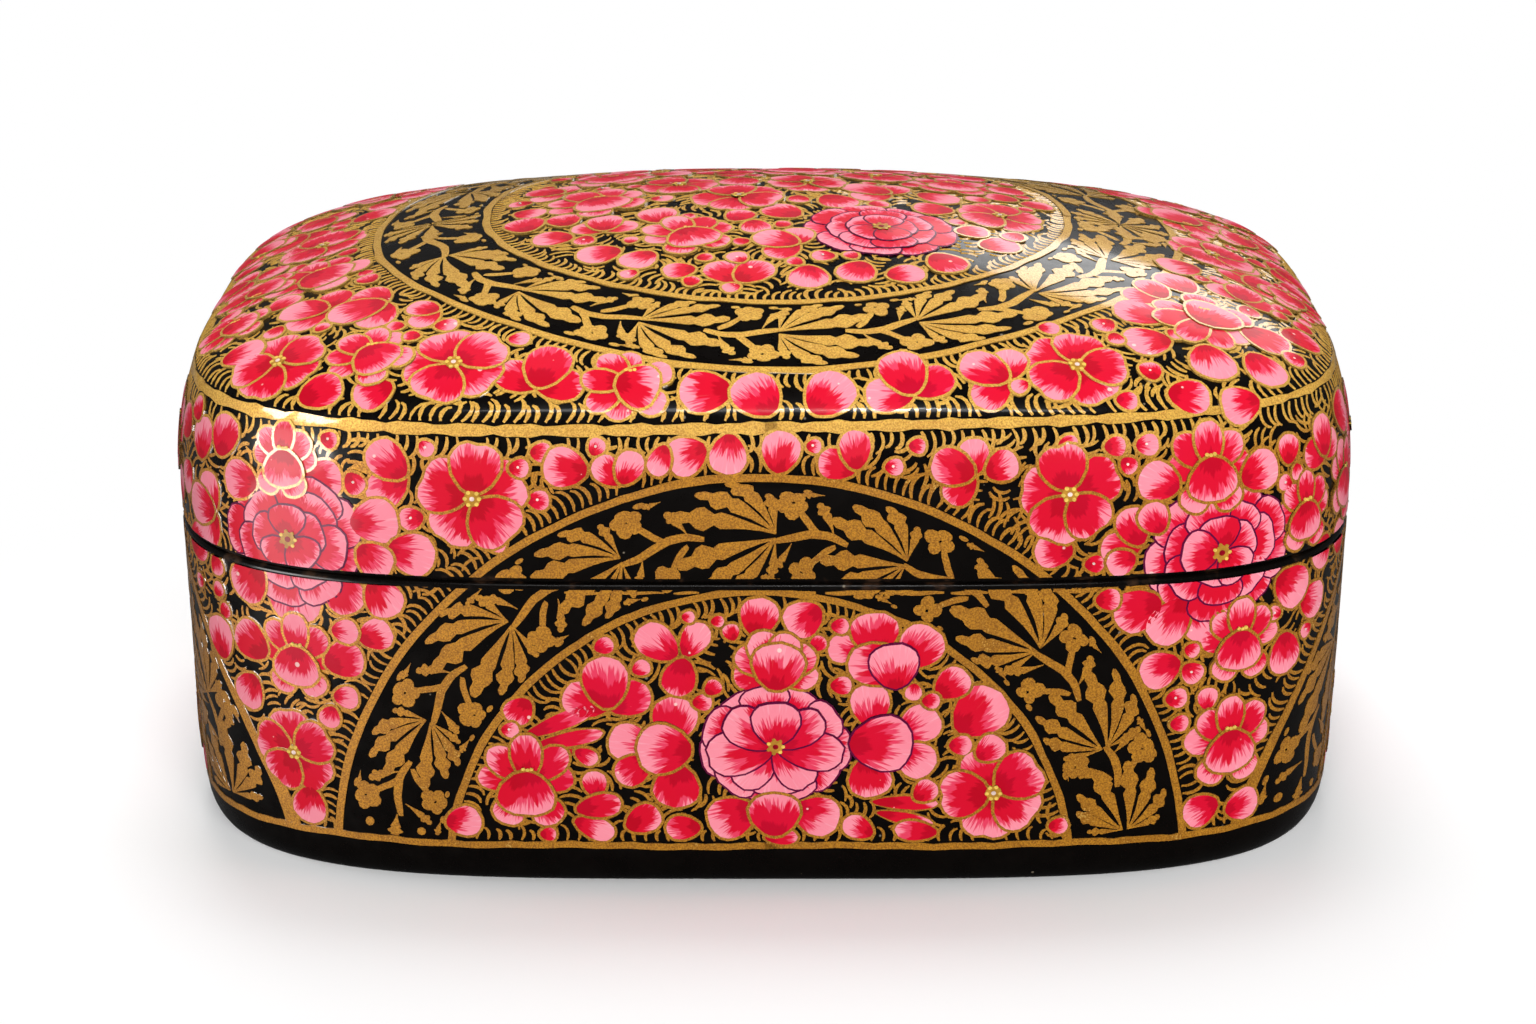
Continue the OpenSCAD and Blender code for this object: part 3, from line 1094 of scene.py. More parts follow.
@dataclass(frozen=True)
class MouldedLid:
    """The moulded lid under its paint: upright wall, shoulder and domed crown."""

    form: BoxForm
    around: int = 240
    shares: tuple[float, ...] = (0.996, 0.985, 0.968, 0.945, 0.915, 0.88, 0.84, 0.79, 0.73, 0.66, 0.58,
                                 0.5, 0.41, 0.32, 0.23, 0.14, 0.05)

    def crown_levels(self, depth: float = 0.0, drop: float = 0.0) -> list[Array]:
        """Returns the crown's outlines inwards, depth behind the wall and drop below the top."""
        f = self.form
        return [f.level(self.around, f.shoulder_draw + depth,
                        f.shoulder_z + (f.crown_h - drop) * (1 - s**f.crown_fall) ** (1 / f.crown_edge),
                        s, f.crown_power + (f.outline_power - f.crown_power) * s * s)
                for s in self.shares]

    def levels(self) -> list[Array]:
        """Returns the lid's outlines, from the middle of its inside out to the rim and up to its top."""
        f, n = self.form, self.around
        return [*reversed(self.crown_levels(f.wall_t, f.crown_t)),
                *f.wall_levels(n, np.linspace(f.shoulder_z, f.rim_z + f.lining_back, 7), f.wall_t),
                f.level(n, f.wall_t, f.rim_z),
                *reversed(f.rim_levels(n, 1)),
                *f.wall_levels(n, np.linspace(f.rim_z + f.rim_round, f.shoulder_z, 12)),
                *self.crown_levels()]

    def build(self, lacquer: Material) -> bpy.types.Object:
        """Returns the lid, lacquered, in place of the part's plain one."""
        piece = loft("moulded_lid", self.levels())
        piece.data.materials.append(lacquer)
        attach(piece, "lid")
        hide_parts("lid_shell")
        return piece


@dataclass(frozen=True)
class Inside:
    """The collar and the pasted linings, which keep the shapes that the part gives them."""

    collar_top_z: float
    linings: tuple[str, ...] = ("base_wall_lining", "base_floor_lining", "lid_wall_lining",
                                "lid_crown_lining")

    def dress(self, effects: Effects) -> None:
        """Gives the collar and the linings their finishes."""
        paper = LiningPaper().make(effects)
        board = CollarBoard(self.collar_top_z).make(effects)
        for node, finish in [(name, paper) for name in self.linings] + [("collar", board)]:
            for material_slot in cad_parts[node].material_slots:
                material_slot.material = finish
            log.info("%s: finished as %s", node, finish.name)


# --- Flowers ---


class Kind(Enum):
    """The flowers that the painter repeats."""

    PEONY = "broad petals over a pale ring, round a gold heart"
    FULL_PEONY = "many rounded petals, ring within ring"
    ROSETTE = "five heart-shaped petals round a yellow eye"
    CUP = "one broad front petal that hangs down, with a fan of petals behind it"
    FAN = "one round front petal that stands up, with a fan of petals behind it"
    TRIPLE = "three petals in a fan"
    PAIR = "two petals side by side"
    SINGLE = "one round petal"
    SLIP = "one long curved petal"
    BUD = "a tiny pink dot"


PEONY, FULL_PEONY, ROSETTE, CUP, FAN, TRIPLE, PAIR, SINGLE, SLIP, BUD = Kind

@dataclass(frozen=True)
class Bloom:
    """One flower where the painter put it: its kind, place, radius and turn in degrees.

    A single petal also has its width as a share of its length, and the layer it lies in.
    """

    kind: Kind
    x: float
    y: float
    r: float
    turn: float = 0.0
    slim: float = 0.9
    layer: int = -1


def blooms(*rows: tuple) -> tuple[Bloom, ...]:
    """Returns a flower for each row of its kind, place, radius and so on."""
    return tuple(Bloom(*row) for row in rows)


@dataclass(frozen=True)
class Petal:
    """One petal on its flower's patch, in millimetres."""

    x: float
    y: float
    angle: float
    length: float
    width: float
    layer: int = 0
    warmth: float = 0.5
    purple: bool = False
    notch: float = 0.0


def petal_outline(petal: Petal, count: int, grow: float, wave: float) -> Array:
    """Returns a petal's outline on its own axis, anticlockwise, grown outwards by grow."""
    t = np.linspace(0, 2 * np.pi, count, endpoint=False)
    along = petal.length * (1 - np.cos(t)) / 2
    across = -petal.width / 2 * np.sin(t) * (1 - 0.24 * np.cos(t))
    tip = np.clip(-np.cos(t), 0, 1) ** 3
    along = along - petal.notch * petal.length * tip * np.exp(-(across / (0.16 * petal.width)) ** 2)
    middle = np.array([petal.length * 0.52, 0.0])
    flat = np.stack([along, across], axis=1) - middle
    reach = np.linalg.norm(flat, axis=1)
    ripple = 1 + 0.022 * np.sin(5 * t + wave) * tip + 0.014 * np.sin(9 * t + 2 * wave)
    return flat * (ripple + grow / np.maximum(reach, 1e-6))[:, None] + middle


class FlowerBed:
    """Paints flowers: petals on their outlines, with hearts and dots on top.

    A petal longer than big gets more points. A single petal in a layer above on_peony has a purple edge.
    """

    big: float = 2.6
    on_peony: int = 6

    def __init__(self, form: BoxForm, petals: PaintLayer, gold: PaintLayer, fine: PaintLayer,
                 seed: int = 7) -> None:
        self.form, self.petals, self.gold, self.fine = form, petals, gold, fine
        self.dice = np.random.default_rng(seed)
        self.covered: list[tuple[Array, float]] = []
        self.order = 0

    def plant(self, bloom: Bloom, near: Array, turn: Turn = Turn.AS_PLACED) -> None:
        """Paints one flower near a point of the skin."""
        seat = Seat.row(self.form, near.reshape(1, 3), turn)[0]
        for petal in self._petals(bloom):
            self._paint(petal, seat, bloom.turn)
        self._heart(bloom, seat)

    def _petals(self, bloom: Bloom) -> list[Petal]:
        """Returns the petals of a flower, lowest first."""
        r, roll = bloom.r, self.dice.uniform
        if bloom.kind is PEONY:
            return self._peony(r)
        if bloom.kind is FULL_PEONY:
            return self._full_peony(r)
        if bloom.kind is ROSETTE:
            spread = [90 + 72 * i + roll(-7, 7) for i in range(5)]
            order = self.dice.permutation(5)
            return [Petal(*toward(a, 0.1 * r), a, r * roll(0.84, 0.96), r * roll(0.9, 1.04), int(k),
                          roll(0.62, 0.85), False, 0.07) for a, k in zip(spread, order)]
        if bloom.kind is CUP:
            fan = [Petal(0, 0.12 * r, a, r * roll(0.9, 1.02), r * roll(0.54, 0.66), k, roll(0.5, 0.9))
                   for k, a in enumerate((178, 2, 140, 40, 92))]
            low = [Petal(side * 0.2 * r, -0.25 * r, 270 + side * 30, 0.66 * r, 0.62 * r, 5 + (side > 0),
                         roll(0.3, 0.8)) for side in (-1, 1)]
            return low + fan + [Petal(0, 0.3 * r, 270 + roll(-6, 6), 0.95 * r, 1.1 * r, 7, roll(0.55, 0.8))]
        if bloom.kind is FAN:
            fan = [Petal(0, -0.15 * r, a, r * roll(0.95, 1.06), r * roll(0.62, 0.74), k, roll(0.5, 0.9))
                   for k, a in enumerate((192, -12, 152, 28, 112, 68))]
            return fan + [Petal(0, -0.62 * r, 90 + roll(-8, 8), 1.14 * r, 1.16 * r, 7, roll(0.35, 0.65))]
        if bloom.kind is TRIPLE:
            return [Petal(0, -0.4 * r, a + roll(-6, 6), length * r, 0.8 * length * r, k, roll(0.3, 0.9))
                    for k, (a, length) in enumerate(((158, 1.15), (24, 1.1), (92, 1.35)))]
        if bloom.kind is PAIR:
            return [Petal(0, -0.75 * r, 90 + side * 36, 1.55 * r, 1.2 * r, k, roll(0.4, 0.75))
                    for k, side in enumerate((1, -1))]
        if bloom.kind is SLIP:
            return [Petal(-r, 0.12 * r, 8, 2 * r, 0.45 * r, 0, 0.9),
                    Petal(-0.8 * r, -0.2 * r, -4, 1.8 * r, 0.4 * r, 2, 0.6)]
        return [self._single(bloom)]

    def _single(self, bloom: Bloom) -> Petal:
        """Returns the one petal of a bud or a single petal, deeper pink where it lies on a peony."""
        self.order += 1
        layer = bloom.layer if bloom.layer >= 0 else self.order % 4
        purple = layer > self.on_peony
        warmth = self.dice.uniform(*((0.1, 0.9) if bloom.kind is BUD else (0.3, 0.85)))
        return Petal(-bloom.r, 0, 0, 2 * bloom.r, 2 * bloom.r * bloom.slim, layer,
                     warmth * (0.55 if purple else 1), purple)

    def _peony(self, r: float) -> list[Petal]:
        """Returns the petals of a peony: a pale outer ring, then broad petals from the lowest upwards."""
        roll = self.dice.uniform
        out = [self._out_petal(r, 360 * k / 11 + roll(-6, 6), 0.5, 0.5, 0.6, k % 2, roll(0.2, 0.75))
               for k in range(11)]
        for layer, group in enumerate((
                ((270, 0.8, 0.8, 0.3), (232, 0.86, 0.5, 0.3), (310, 0.86, 0.5, 0.4)),
                ((194, 0.97, 0.6, 0.35), (-8, 0.95, 0.52, 0.5)),
                ((146, 0.84, 0.56, 0.5), (36, 0.8, 0.46, 0.65), (90, 0.7, 0.6, 0.45)))):
            for k, (angle, length, width, warmth) in enumerate(group):
                out.append(self._out_petal(r, angle + roll(-4, 4), 0.02, length, width,
                                           2 + 3 * layer + k, warmth))
        return out

    def _full_peony(self, r: float) -> list[Petal]:
        """Returns the petals of a full peony, ring within ring."""
        roll = self.dice.uniform
        out = []
        for ring, (count, foot, length, width, warmth) in enumerate((
                (9, 0.46, 0.54, 0.6, 0.72), (7, 0.24, 0.52, 0.56, 0.8), (5, 0.04, 0.46, 0.5, 0.74))):
            start = roll(0, 360)
            out += [self._out_petal(r, start + 360 * k / count + roll(-6, 6), foot, length, width,
                                    3 * ring + k % 3, warmth + roll(-0.25, 0.25)) for k in range(count)]
        return out

    def _out_petal(self, r: float, angle: float, foot: float, length: float, width: float, layer: int,
                   warmth: float) -> Petal:
        """Returns a purple-edged petal that points away from its flower's middle, sized in shares of r."""
        roll = self.dice.uniform
        spot = foot * r
        drawn = length * (1 - 0.14 * abs(math.sin(math.radians(angle))))
        return Petal(*toward(angle, spot, 0.86 * spot), angle, drawn * r * roll(0.94, 1.05),
                     width * r * roll(0.95, 1.06), layer, warmth, True, 0.03)

    def _paint(self, petal: Petal, seat: Seat, turn: float) -> None:
        """Paints one petal and its outline on a patch that is turned by the given degrees."""
        spin, angle = math.radians(turn), math.radians(turn + petal.angle)
        foot = np.array([petal.x * math.cos(spin) - petal.y * math.sin(spin),
                         petal.x * math.sin(spin) + petal.y * math.cos(spin)])
        axis = np.array([[math.cos(angle), math.sin(angle)], [-math.sin(angle), math.cos(angle)]])

        def place(flat: Array) -> Array:
            """Returns the petal's own points on the patch."""
            return seat(flat @ axis + foot)

        def brush(flat: Array) -> Array:
            """Returns each point's way across and along the petal."""
            along = np.hypot(flat[:, 0], flat[:, 1]) / petal.length
            across = np.arctan2(flat[:, 1], flat[:, 0] + 0.3 * petal.length) / 0.8
            return np.stack([across, along], axis=1)

        wave = self.dice.uniform(0, 6.28)
        count, inner = (20, (0.28, 0.56, 0.8)) if petal.length > self.big else (14, (0.55,))
        rim, edge, step = (self.fine, 0.25, 0.034) if petal.purple else (self.gold, 0.38, 0.045)
        base = 0.12 + step * petal.layer
        rim.lay(disc_tile(petal_outline(petal, count, edge, wave), base, (0.8,)), place,
                (FineTone.PURPLE.value, 0.5))
        tile = disc_tile(petal_outline(petal, count, 0.0, wave), base + 0.022, inner, brush=brush)
        self.petals.lay(tile, place, (self.dice.uniform(), petal.warmth))
        middle = place(np.array([[petal.length * 0.5, 0.0]]))[0]
        self.covered.append((middle, min(petal.length, petal.width) / 2 + 0.2))

    def _dot(self, seat: Seat, x: float, y: float, r: float, lift: float, tone: FineTone) -> None:
        """Paints one dot."""
        ring = ring_points(x, y, r, 9, 0.92, self.dice.uniform(0, 1))
        self.fine.lay(disc_tile(ring, lift), seat, (tone.value, 0.5))

    def _heart(self, bloom: Bloom, seat: Seat) -> None:
        """Paints the middle of a flower."""
        r = bloom.r
        if bloom.kind is ROSETTE:
            self._dot(seat, 0, 0, 0.16 * r, 0.42, FineTone.GOLD)
            for k in range(6):
                a = k * math.pi / 3 + self.dice.uniform(-0.2, 0.2)
                self._dot(seat, 0.13 * r * math.cos(a), 0.13 * r * math.sin(a), 0.26, 0.45, FineTone.YELLOW)
            self._dot(seat, 0, 0, 0.3, 0.47, FineTone.WHITE)
        elif bloom.kind in (PEONY, FULL_PEONY):
            self._dot(seat, 0, 0, 0.1 * r, 0.5, FineTone.GOLD)
            for k in range(7):
                a = k * math.tau / 7
                self._dot(seat, 0.1 * r * math.cos(a), 0.1 * r * math.sin(a), 0.24, 0.52,
                          FineTone.YELLOW if k % 3 == 0 else FineTone.GOLD)
            self._dot(seat, 0, 0, 0.04 * r, 0.54, FineTone.CRIMSON)
        elif bloom.kind is CUP:
            for k in (-1, 0, 1):
                self._dot(seat, k * 0.5, 0.34 * r + 0.1 * abs(k), 0.24, 0.48, FineTone.YELLOW)
        elif bloom.kind is BUD and self.dice.random() < 0.3:
            self._dot(seat, -0.1, 0.1, 0.17, 0.3, FineTone.WHITE)


@dataclass(frozen=True)
class FlowerPlan:
    """Where the painter put the flowers, in millimetres, read off the box as it stands.

    The front and the ends have their medallions as seen from straight ahead, the corners and the row on
    the lid's wall go by the length round the rim and the height, and the crown is seen from above.
    The back is the front turned half round, as the painter repeats it.
    """

    front: tuple[Bloom, ...] = blooms(
        (SINGLE, -0.7, 36.3, 2.5, 80), (SINGLE, 4.7, 36.2, 2.4, 215, 0.95), (FAN, 1.2, 30.2, 5.3),
        (BUD, -9.2, 36.4, 0.8), (BUD, -5.7, 35.8, 0.8), (BUD, 9, 35.2, 1.1),
        (SINGLE, -12.9, 33, 2.9, 140, 0.75), (SINGLE, -8.5, 33.4, 2.4, 60, 0.7, 2),
        (SINGLE, -10.3, 28.6, 2.5, 255, 0.8, 3), (BUD, -19.4, 32.6, 1.2, 20), (TRIPLE, -19.2, 26.4, 5, 6),
        (SINGLE, -29.8, 24, 1.9, 230), (BUD, -31, 21.4, 1.1), (SLIP, -24.6, 21.3, 4.7, 16),
        (SINGLE, -25.7, 18.7, 2.6, 185, 0.5), (SINGLE, -21.8, 18, 1.5, 330, 0.7, 3), (CUP, -29, 14, 6.2),
        (SINGLE, -37.1, 8.8, 2.2, 10), (BUD, -26.7, 7.3, 1), (SINGLE, -20.8, 14.1, 1.8, 100, 0.8),
        (SINGLE, -20.4, 11.2, 2.8, 10, 0.55, 3), (SINGLE, -21, 8.2, 2.6, -24, 0.55),
        (SINGLE, -15, 9.4, 2.3, 30, 0.8), (SINGLE, -10, 8.2, 2.1, 180, 0.76),
        (SINGLE, -4, 9.7, 3, 205, 0.9, 0), (SINGLE, 6.3, 9.9, 2.9, 340, 0.9, 0),
        (SINGLE, 2, 6.9, 2, 0, 0.5, 1), (SINGLE, 1.2, 10, 2.9, 92, 1.05, 3), (BUD, -7.6, 25.2, 1.2),
        (SINGLE, -11, 22.8, 3, 80, 0.9, 0), (SINGLE, -16.3, 19.8, 2.7, 170, 0.9, 1),
        (SINGLE, -16, 16.2, 2.4, 215, 0.8, 2), (SINGLE, -10.8, 14, 2.9, 265, 0.95, 2),
        (SINGLE, -12.2, 19, 3.3, 178, 0.98, 5), (SINGLE, 12.8, 24.7, 2.9, 95, 0.8, 0),
        (SINGLE, 18.7, 22.2, 2.7, 30, 0.9, 1), (SINGLE, 18.3, 17.6, 2.6, 330, 0.9, 2),
        (SINGLE, 12.8, 15.2, 2.7, 280, 0.95, 2), (SINGLE, 14.1, 19.8, 3.8, 0, 0.95, 9),
        (BUD, 9.2, 27.4, 1.3), (SINGLE, 9.6, 32.2, 2, 170, 0.9, 0), (SINGLE, 13.2, 34.2, 2.7, 90, 1.05, 1),
        (SINGLE, 18.6, 32.4, 3, 50, 0.9, 2), (SINGLE, 14.2, 30.2, 4.2, 178, 0.62, 4),
        (SINGLE, 15.6, 30, 2.9, 95, 1, 9), (SINGLE, 22.6, 27.6, 2.3, 40, 0.86), (BUD, 20.1, 25.4, 1.1),
        (SINGLE, 26, 23.7, 3.6, 45, 0.9), (BUD, 23.8, 19.4, 1.4), (SINGLE, 27.4, 18.9, 1.9, 40),
        (ROSETTE, 28, 13, 6.4, 20), (SLIP, 17, 10.6, 4, -10), (SINGLE, 18.6, 7.8, 2.6, 175, 0.5),
        (SINGLE, 11.5, 8.2, 2, 150, 0.75), (SINGLE, 19.6, 13.2, 1.6, 40), (BUD, 36.1, 8.2, 1.2),
        (PEONY, 1.3, 19.4, 9.2))
    left_corner: tuple[Bloom, ...] = blooms(
        (SINGLE, -73.5, 54, 2.6, 100), (SINGLE, -68.7, 55.4, 2.6, 80), (CUP, -59, 54, 4.6),
        (SINGLE, -65, 50.8, 2.6, 180), (SINGLE, -53.6, 52.4, 2.6), (SINGLE, -46.8, 47.8, 3, 10),
        (SINGLE, -42.3, 44, 2.9, -10), (SINGLE, -46.9, 43, 2.4, -40), (PAIR, -45.8, 53.6, 3.6, 90),
        (ROSETTE, -34.9, 51.1, 6.5), (BUD, -27, 56.6, 1.3), (BUD, -27, 51, 1.3), (BUD, -32, 45.6, 1.2),
        (TRIPLE, -71.6, 45.7, 4.6, 90), (SINGLE, -64, 38.2, 3, 230), (SINGLE, -57.5, 37.4, 3.8, 270),
        (SINGLE, -51, 38.4, 2.8, 300), (SINGLE, -46, 38.2, 2.6, 300), (BUD, -51, 33.4, 1.7),
        (SINGLE, -47.2, 33.2, 2.2, 20), (CUP, -57.5, 29, 5.4), (SINGLE, -64.4, 30, 2.8, 150),
        (SINGLE, -51.4, 29.6, 2.6, 20), (SINGLE, -70.2, 29, 2.8, 100), (SINGLE, -65.4, 23.2, 2.5, 240),
        (BUD, -51.4, 24.6, 1.6), (ROSETTE, -59, 16.2, 5.6, 8), (SINGLE, -57.5, 9.2, 2.5, 260),
        (FULL_PEONY, -57.8, 44.6, 10))
    right_corner: tuple[Bloom, ...] = blooms(
        (BUD, 36.7, 57.4, 1.2), (BUD, 42.4, 57, 1.3), (BUD, 46.4, 57, 1.4), (ROSETTE, 36.4, 51.6, 6.1, 10),
        (CUP, 54, 53.4, 5.6), (SINGLE, 47.4, 52.6, 2.6, 160), (SINGLE, 60.6, 52.6, 2.7, 20),
        (BUD, 65.5, 54.4, 1.8, 80), (CUP, 68, 46, 5), (TRIPLE, 72.4, 53.6, 3.8),
        (SINGLE, 34.5, 44.6, 2.3, 180), (PAIR, 43, 46.2, 3.2, 60), (SINGLE, 42.7, 42.9, 1.8, 200),
        (SINGLE, 46.6, 48.2, 2, 120), (BUD, 39.4, 42.8, 1.2), (SINGLE, 45, 36.6, 3, 200),
        (BUD, 41.2, 38.2, 1.5), (PAIR, 51, 34.4, 4.2, 180), (CUP, 58.6, 31, 5.4), (SINGLE, 66, 37, 3, -30),
        (SINGLE, 70.4, 34, 2.6, -20), (SINGLE, 48.2, 28.6, 2.6, 200), (BUD, 50.4, 24.6, 1.4),
        (BUD, 51, 21.2, 1.2), (CUP, 58, 17.6, 6), (SINGLE, 54.9, 8.8, 2.4, 200),
        (SINGLE, 60.7, 8.6, 2.4, 10), (FULL_PEONY, 55.2, 43.2, 10.2))
    wall_row: tuple[Bloom, ...] = blooms(
        (SINGLE, -23.9, 54.9, 2.6, 170), (PAIR, -17.6, 55, 2.7, 10), (SINGLE, -12.6, 55.8, 1.9, 250, 0.7),
        (SINGLE, -9.4, 56.3, 2.5, 205), (SINGLE, -4.4, 56.5, 2.4, 265), (SINGLE, 1.9, 56.7, 2.5, 80),
        (PAIR, 9.6, 56.4, 3, 40), (BUD, 5.9, 57.4, 0.9), (TRIPLE, 23.6, 54.6, 3.9, 70),
        (BUD, 15.5, 55, 1.1), (BUD, 18.4, 57.4, 1), (SINGLE, 28.4, 55, 2, 30), (BUD, -29.5, 54.8, 1.2))
    crown_front: tuple[Bloom, ...] = blooms(
        (ROSETTE, -59, -37.6, 6, 10), (SINGLE, -53.2, -44.2, 2.7, 20), (CUP, -47.4, -40, 5.4, 40),
        (SINGLE, -46.6, -45.8, 2.4, 200), (ROSETTE, -37.2, -43, 6.4, 14), (BUD, -38.7, -35.8, 1.4),
        (BUD, -29.6, -39.5, 1.3), (TRIPLE, -26.4, -45.4, 5, -20), (CUP, -16, -46.8, 5.4, 80),
        (SINGLE, -7, -47.6, 3.1, 180), (SINGLE, -0.9, -48, 3.1, 130), (SINGLE, 7.6, -47.9, 3.2, 50),
        (TRIPLE, 17, -46.4, 5, 20), (TRIPLE, 27.3, -45.2, 4.6, 60), (ROSETTE, 37.3, -43.4, 6.4, -10),
        (BUD, 43, -47.2, 1.3), (BUD, 34.4, -37, 1.3))
    crown_left: tuple[Bloom, ...] = blooms(
        (CUP, -57, -14, 7, 60), (TRIPLE, -49, -28.4, 5.4, 100), (TRIPLE, -56, -26, 5, 60),
        (ROSETTE, -58.6, 2, 6.2), (TRIPLE, -63.4, 11, 5, 140), (PAIR, -42, -32.4, 2.8, 100),
        (CUP, -66.5, -24, 5, 80), (TRIPLE, -69.4, -3, 4.6, 90), (SINGLE, -53, 13, 3, 30),
        (SINGLE, -64, -33, 2.8))
    crown_right: tuple[Bloom, ...] = blooms(
        (SINGLE, 46, -31, 3.2, 160), (SINGLE, 46.4, -37.4, 3, 200), (SINGLE, 61.6, -31, 3.2, -20),
        (SINGLE, 54, -39.4, 3.2, 280), (SINGLE, 52, -19.6, 3, 120), (SINGLE, 60.6, -38, 3, 300),
        (CUP, 68, -12, 5, -60), (TRIPLE, 61, -5, 4.6, -40), (CUP, 65, 12, 5.4, -80),
        (SINGLE, 56.6, -4, 2.8, 30), (SINGLE, 57, -44.4, 2.6, 200), (SINGLE, 50.6, -45.4, 2.6),
        (SINGLE, 66.6, -27, 2.8, 20), (TRIPLE, 60.6, -18.6, 4.4, -20), (PAIR, 47.4, -24.6, 3.4, 60),
        (CUP, 54.4, -29.6, 6.6, 150))
    crown_middle: tuple[Bloom, ...] = blooms(
        (CUP, -9.6, -16, 6, 20), (CUP, -21.7, -1, 6.6, 30), (PAIR, -3.2, -26, 3.8),
        (ROSETTE, 30.5, -4, 5.8), (TRIPLE, 2.6, -18, 4.4, 60), (ROSETTE, -3.4, -2, 6, 20),
        (TRIPLE, 14.6, 3, 5, 60), (CUP, -20.6, 14, 6), (CUP, 25, 10.6, 6), (SINGLE, -31, -8, 2.8, 100),
        (SINGLE, -27, -14, 2.6, 170), (SINGLE, -20.8, -20.4, 2.8, 200), (SINGLE, -15.7, -22.6, 2.5, 230),
        (SINGLE, -10.6, -26, 2, 190), (SINGLE, 5.4, -27.4, 2.7, 270), (SINGLE, 11.4, -26, 2.6, 250),
        (SINGLE, 17.4, -26.4, 2.4, 20), (SINGLE, 22.6, -22.8, 2.7, 300), (SINGLE, 29.7, -15.6, 2.6, 20),
        (SINGLE, -3.3, -9.8, 2, 60), (SINGLE, 36, 4.6, 2.2, 20), (CUP, 4.6, 18.4, 7),
        (TRIPLE, -8.6, 24, 5, 40), (TRIPLE, 17, 25, 4.6, -40), (FULL_PEONY, 14.8, -13.2, 9.8))
    end_row: tuple[Bloom, ...] = blooms(
        (SINGLE, 96, 54.2, 2.6, 170), (SINGLE, 102.6, 55, 2.6, 200), (PAIR, 109.4, 55.2, 2.4),
        (SINGLE, 116.4, 55.2, 2.6, 20), (SINGLE, 123, 54.8, 2.6, 160), (SINGLE, 129.4, 54.2, 2.6, 10),
        (ROSETTE, 87.6, 51.6, 5.6), (CUP, 138, 51.4, 5.4))

    def end_medallion(self) -> list[Bloom]:
        """Returns the front's medallion drawn smaller, as it is repeated on the ends."""
        return [Bloom(b.kind, -b.x * 0.8, 1.6 + (b.y - 1.2) * 0.83, b.r * 0.86, b.turn)
                for b in self.front]


# --- Bands, lines and scrolls ---


@dataclass(frozen=True)
class WallBand:
    """One compass-drawn band of a wall, from its right-hand foot over its top to its left-hand foot.

    Its rail gives the points at an angle and a radius. Its nodes are the shares of its length at which
    the scroll has its leaves.
    """

    rail: Rail
    middle_z: float
    radii: tuple[float, float]
    nodes: tuple[float, ...]
    seed: int

    @property
    def radius(self) -> float:
        """The radius of the band's middle line."""
        return (self.radii[0] + self.radii[1]) / 2

    def along(self, angle: Array, across: Array) -> Array:
        """Returns points at an angle and at a distance from the band's middle line."""
        return self.rail(angle, self.radius + across)

    def span(self, foot: float, radius: float) -> tuple[float, float]:
        """Returns the angles between which an arc of that radius is above the height foot."""
        low = math.asin((foot - self.middle_z) / radius)
        return low, math.pi - low


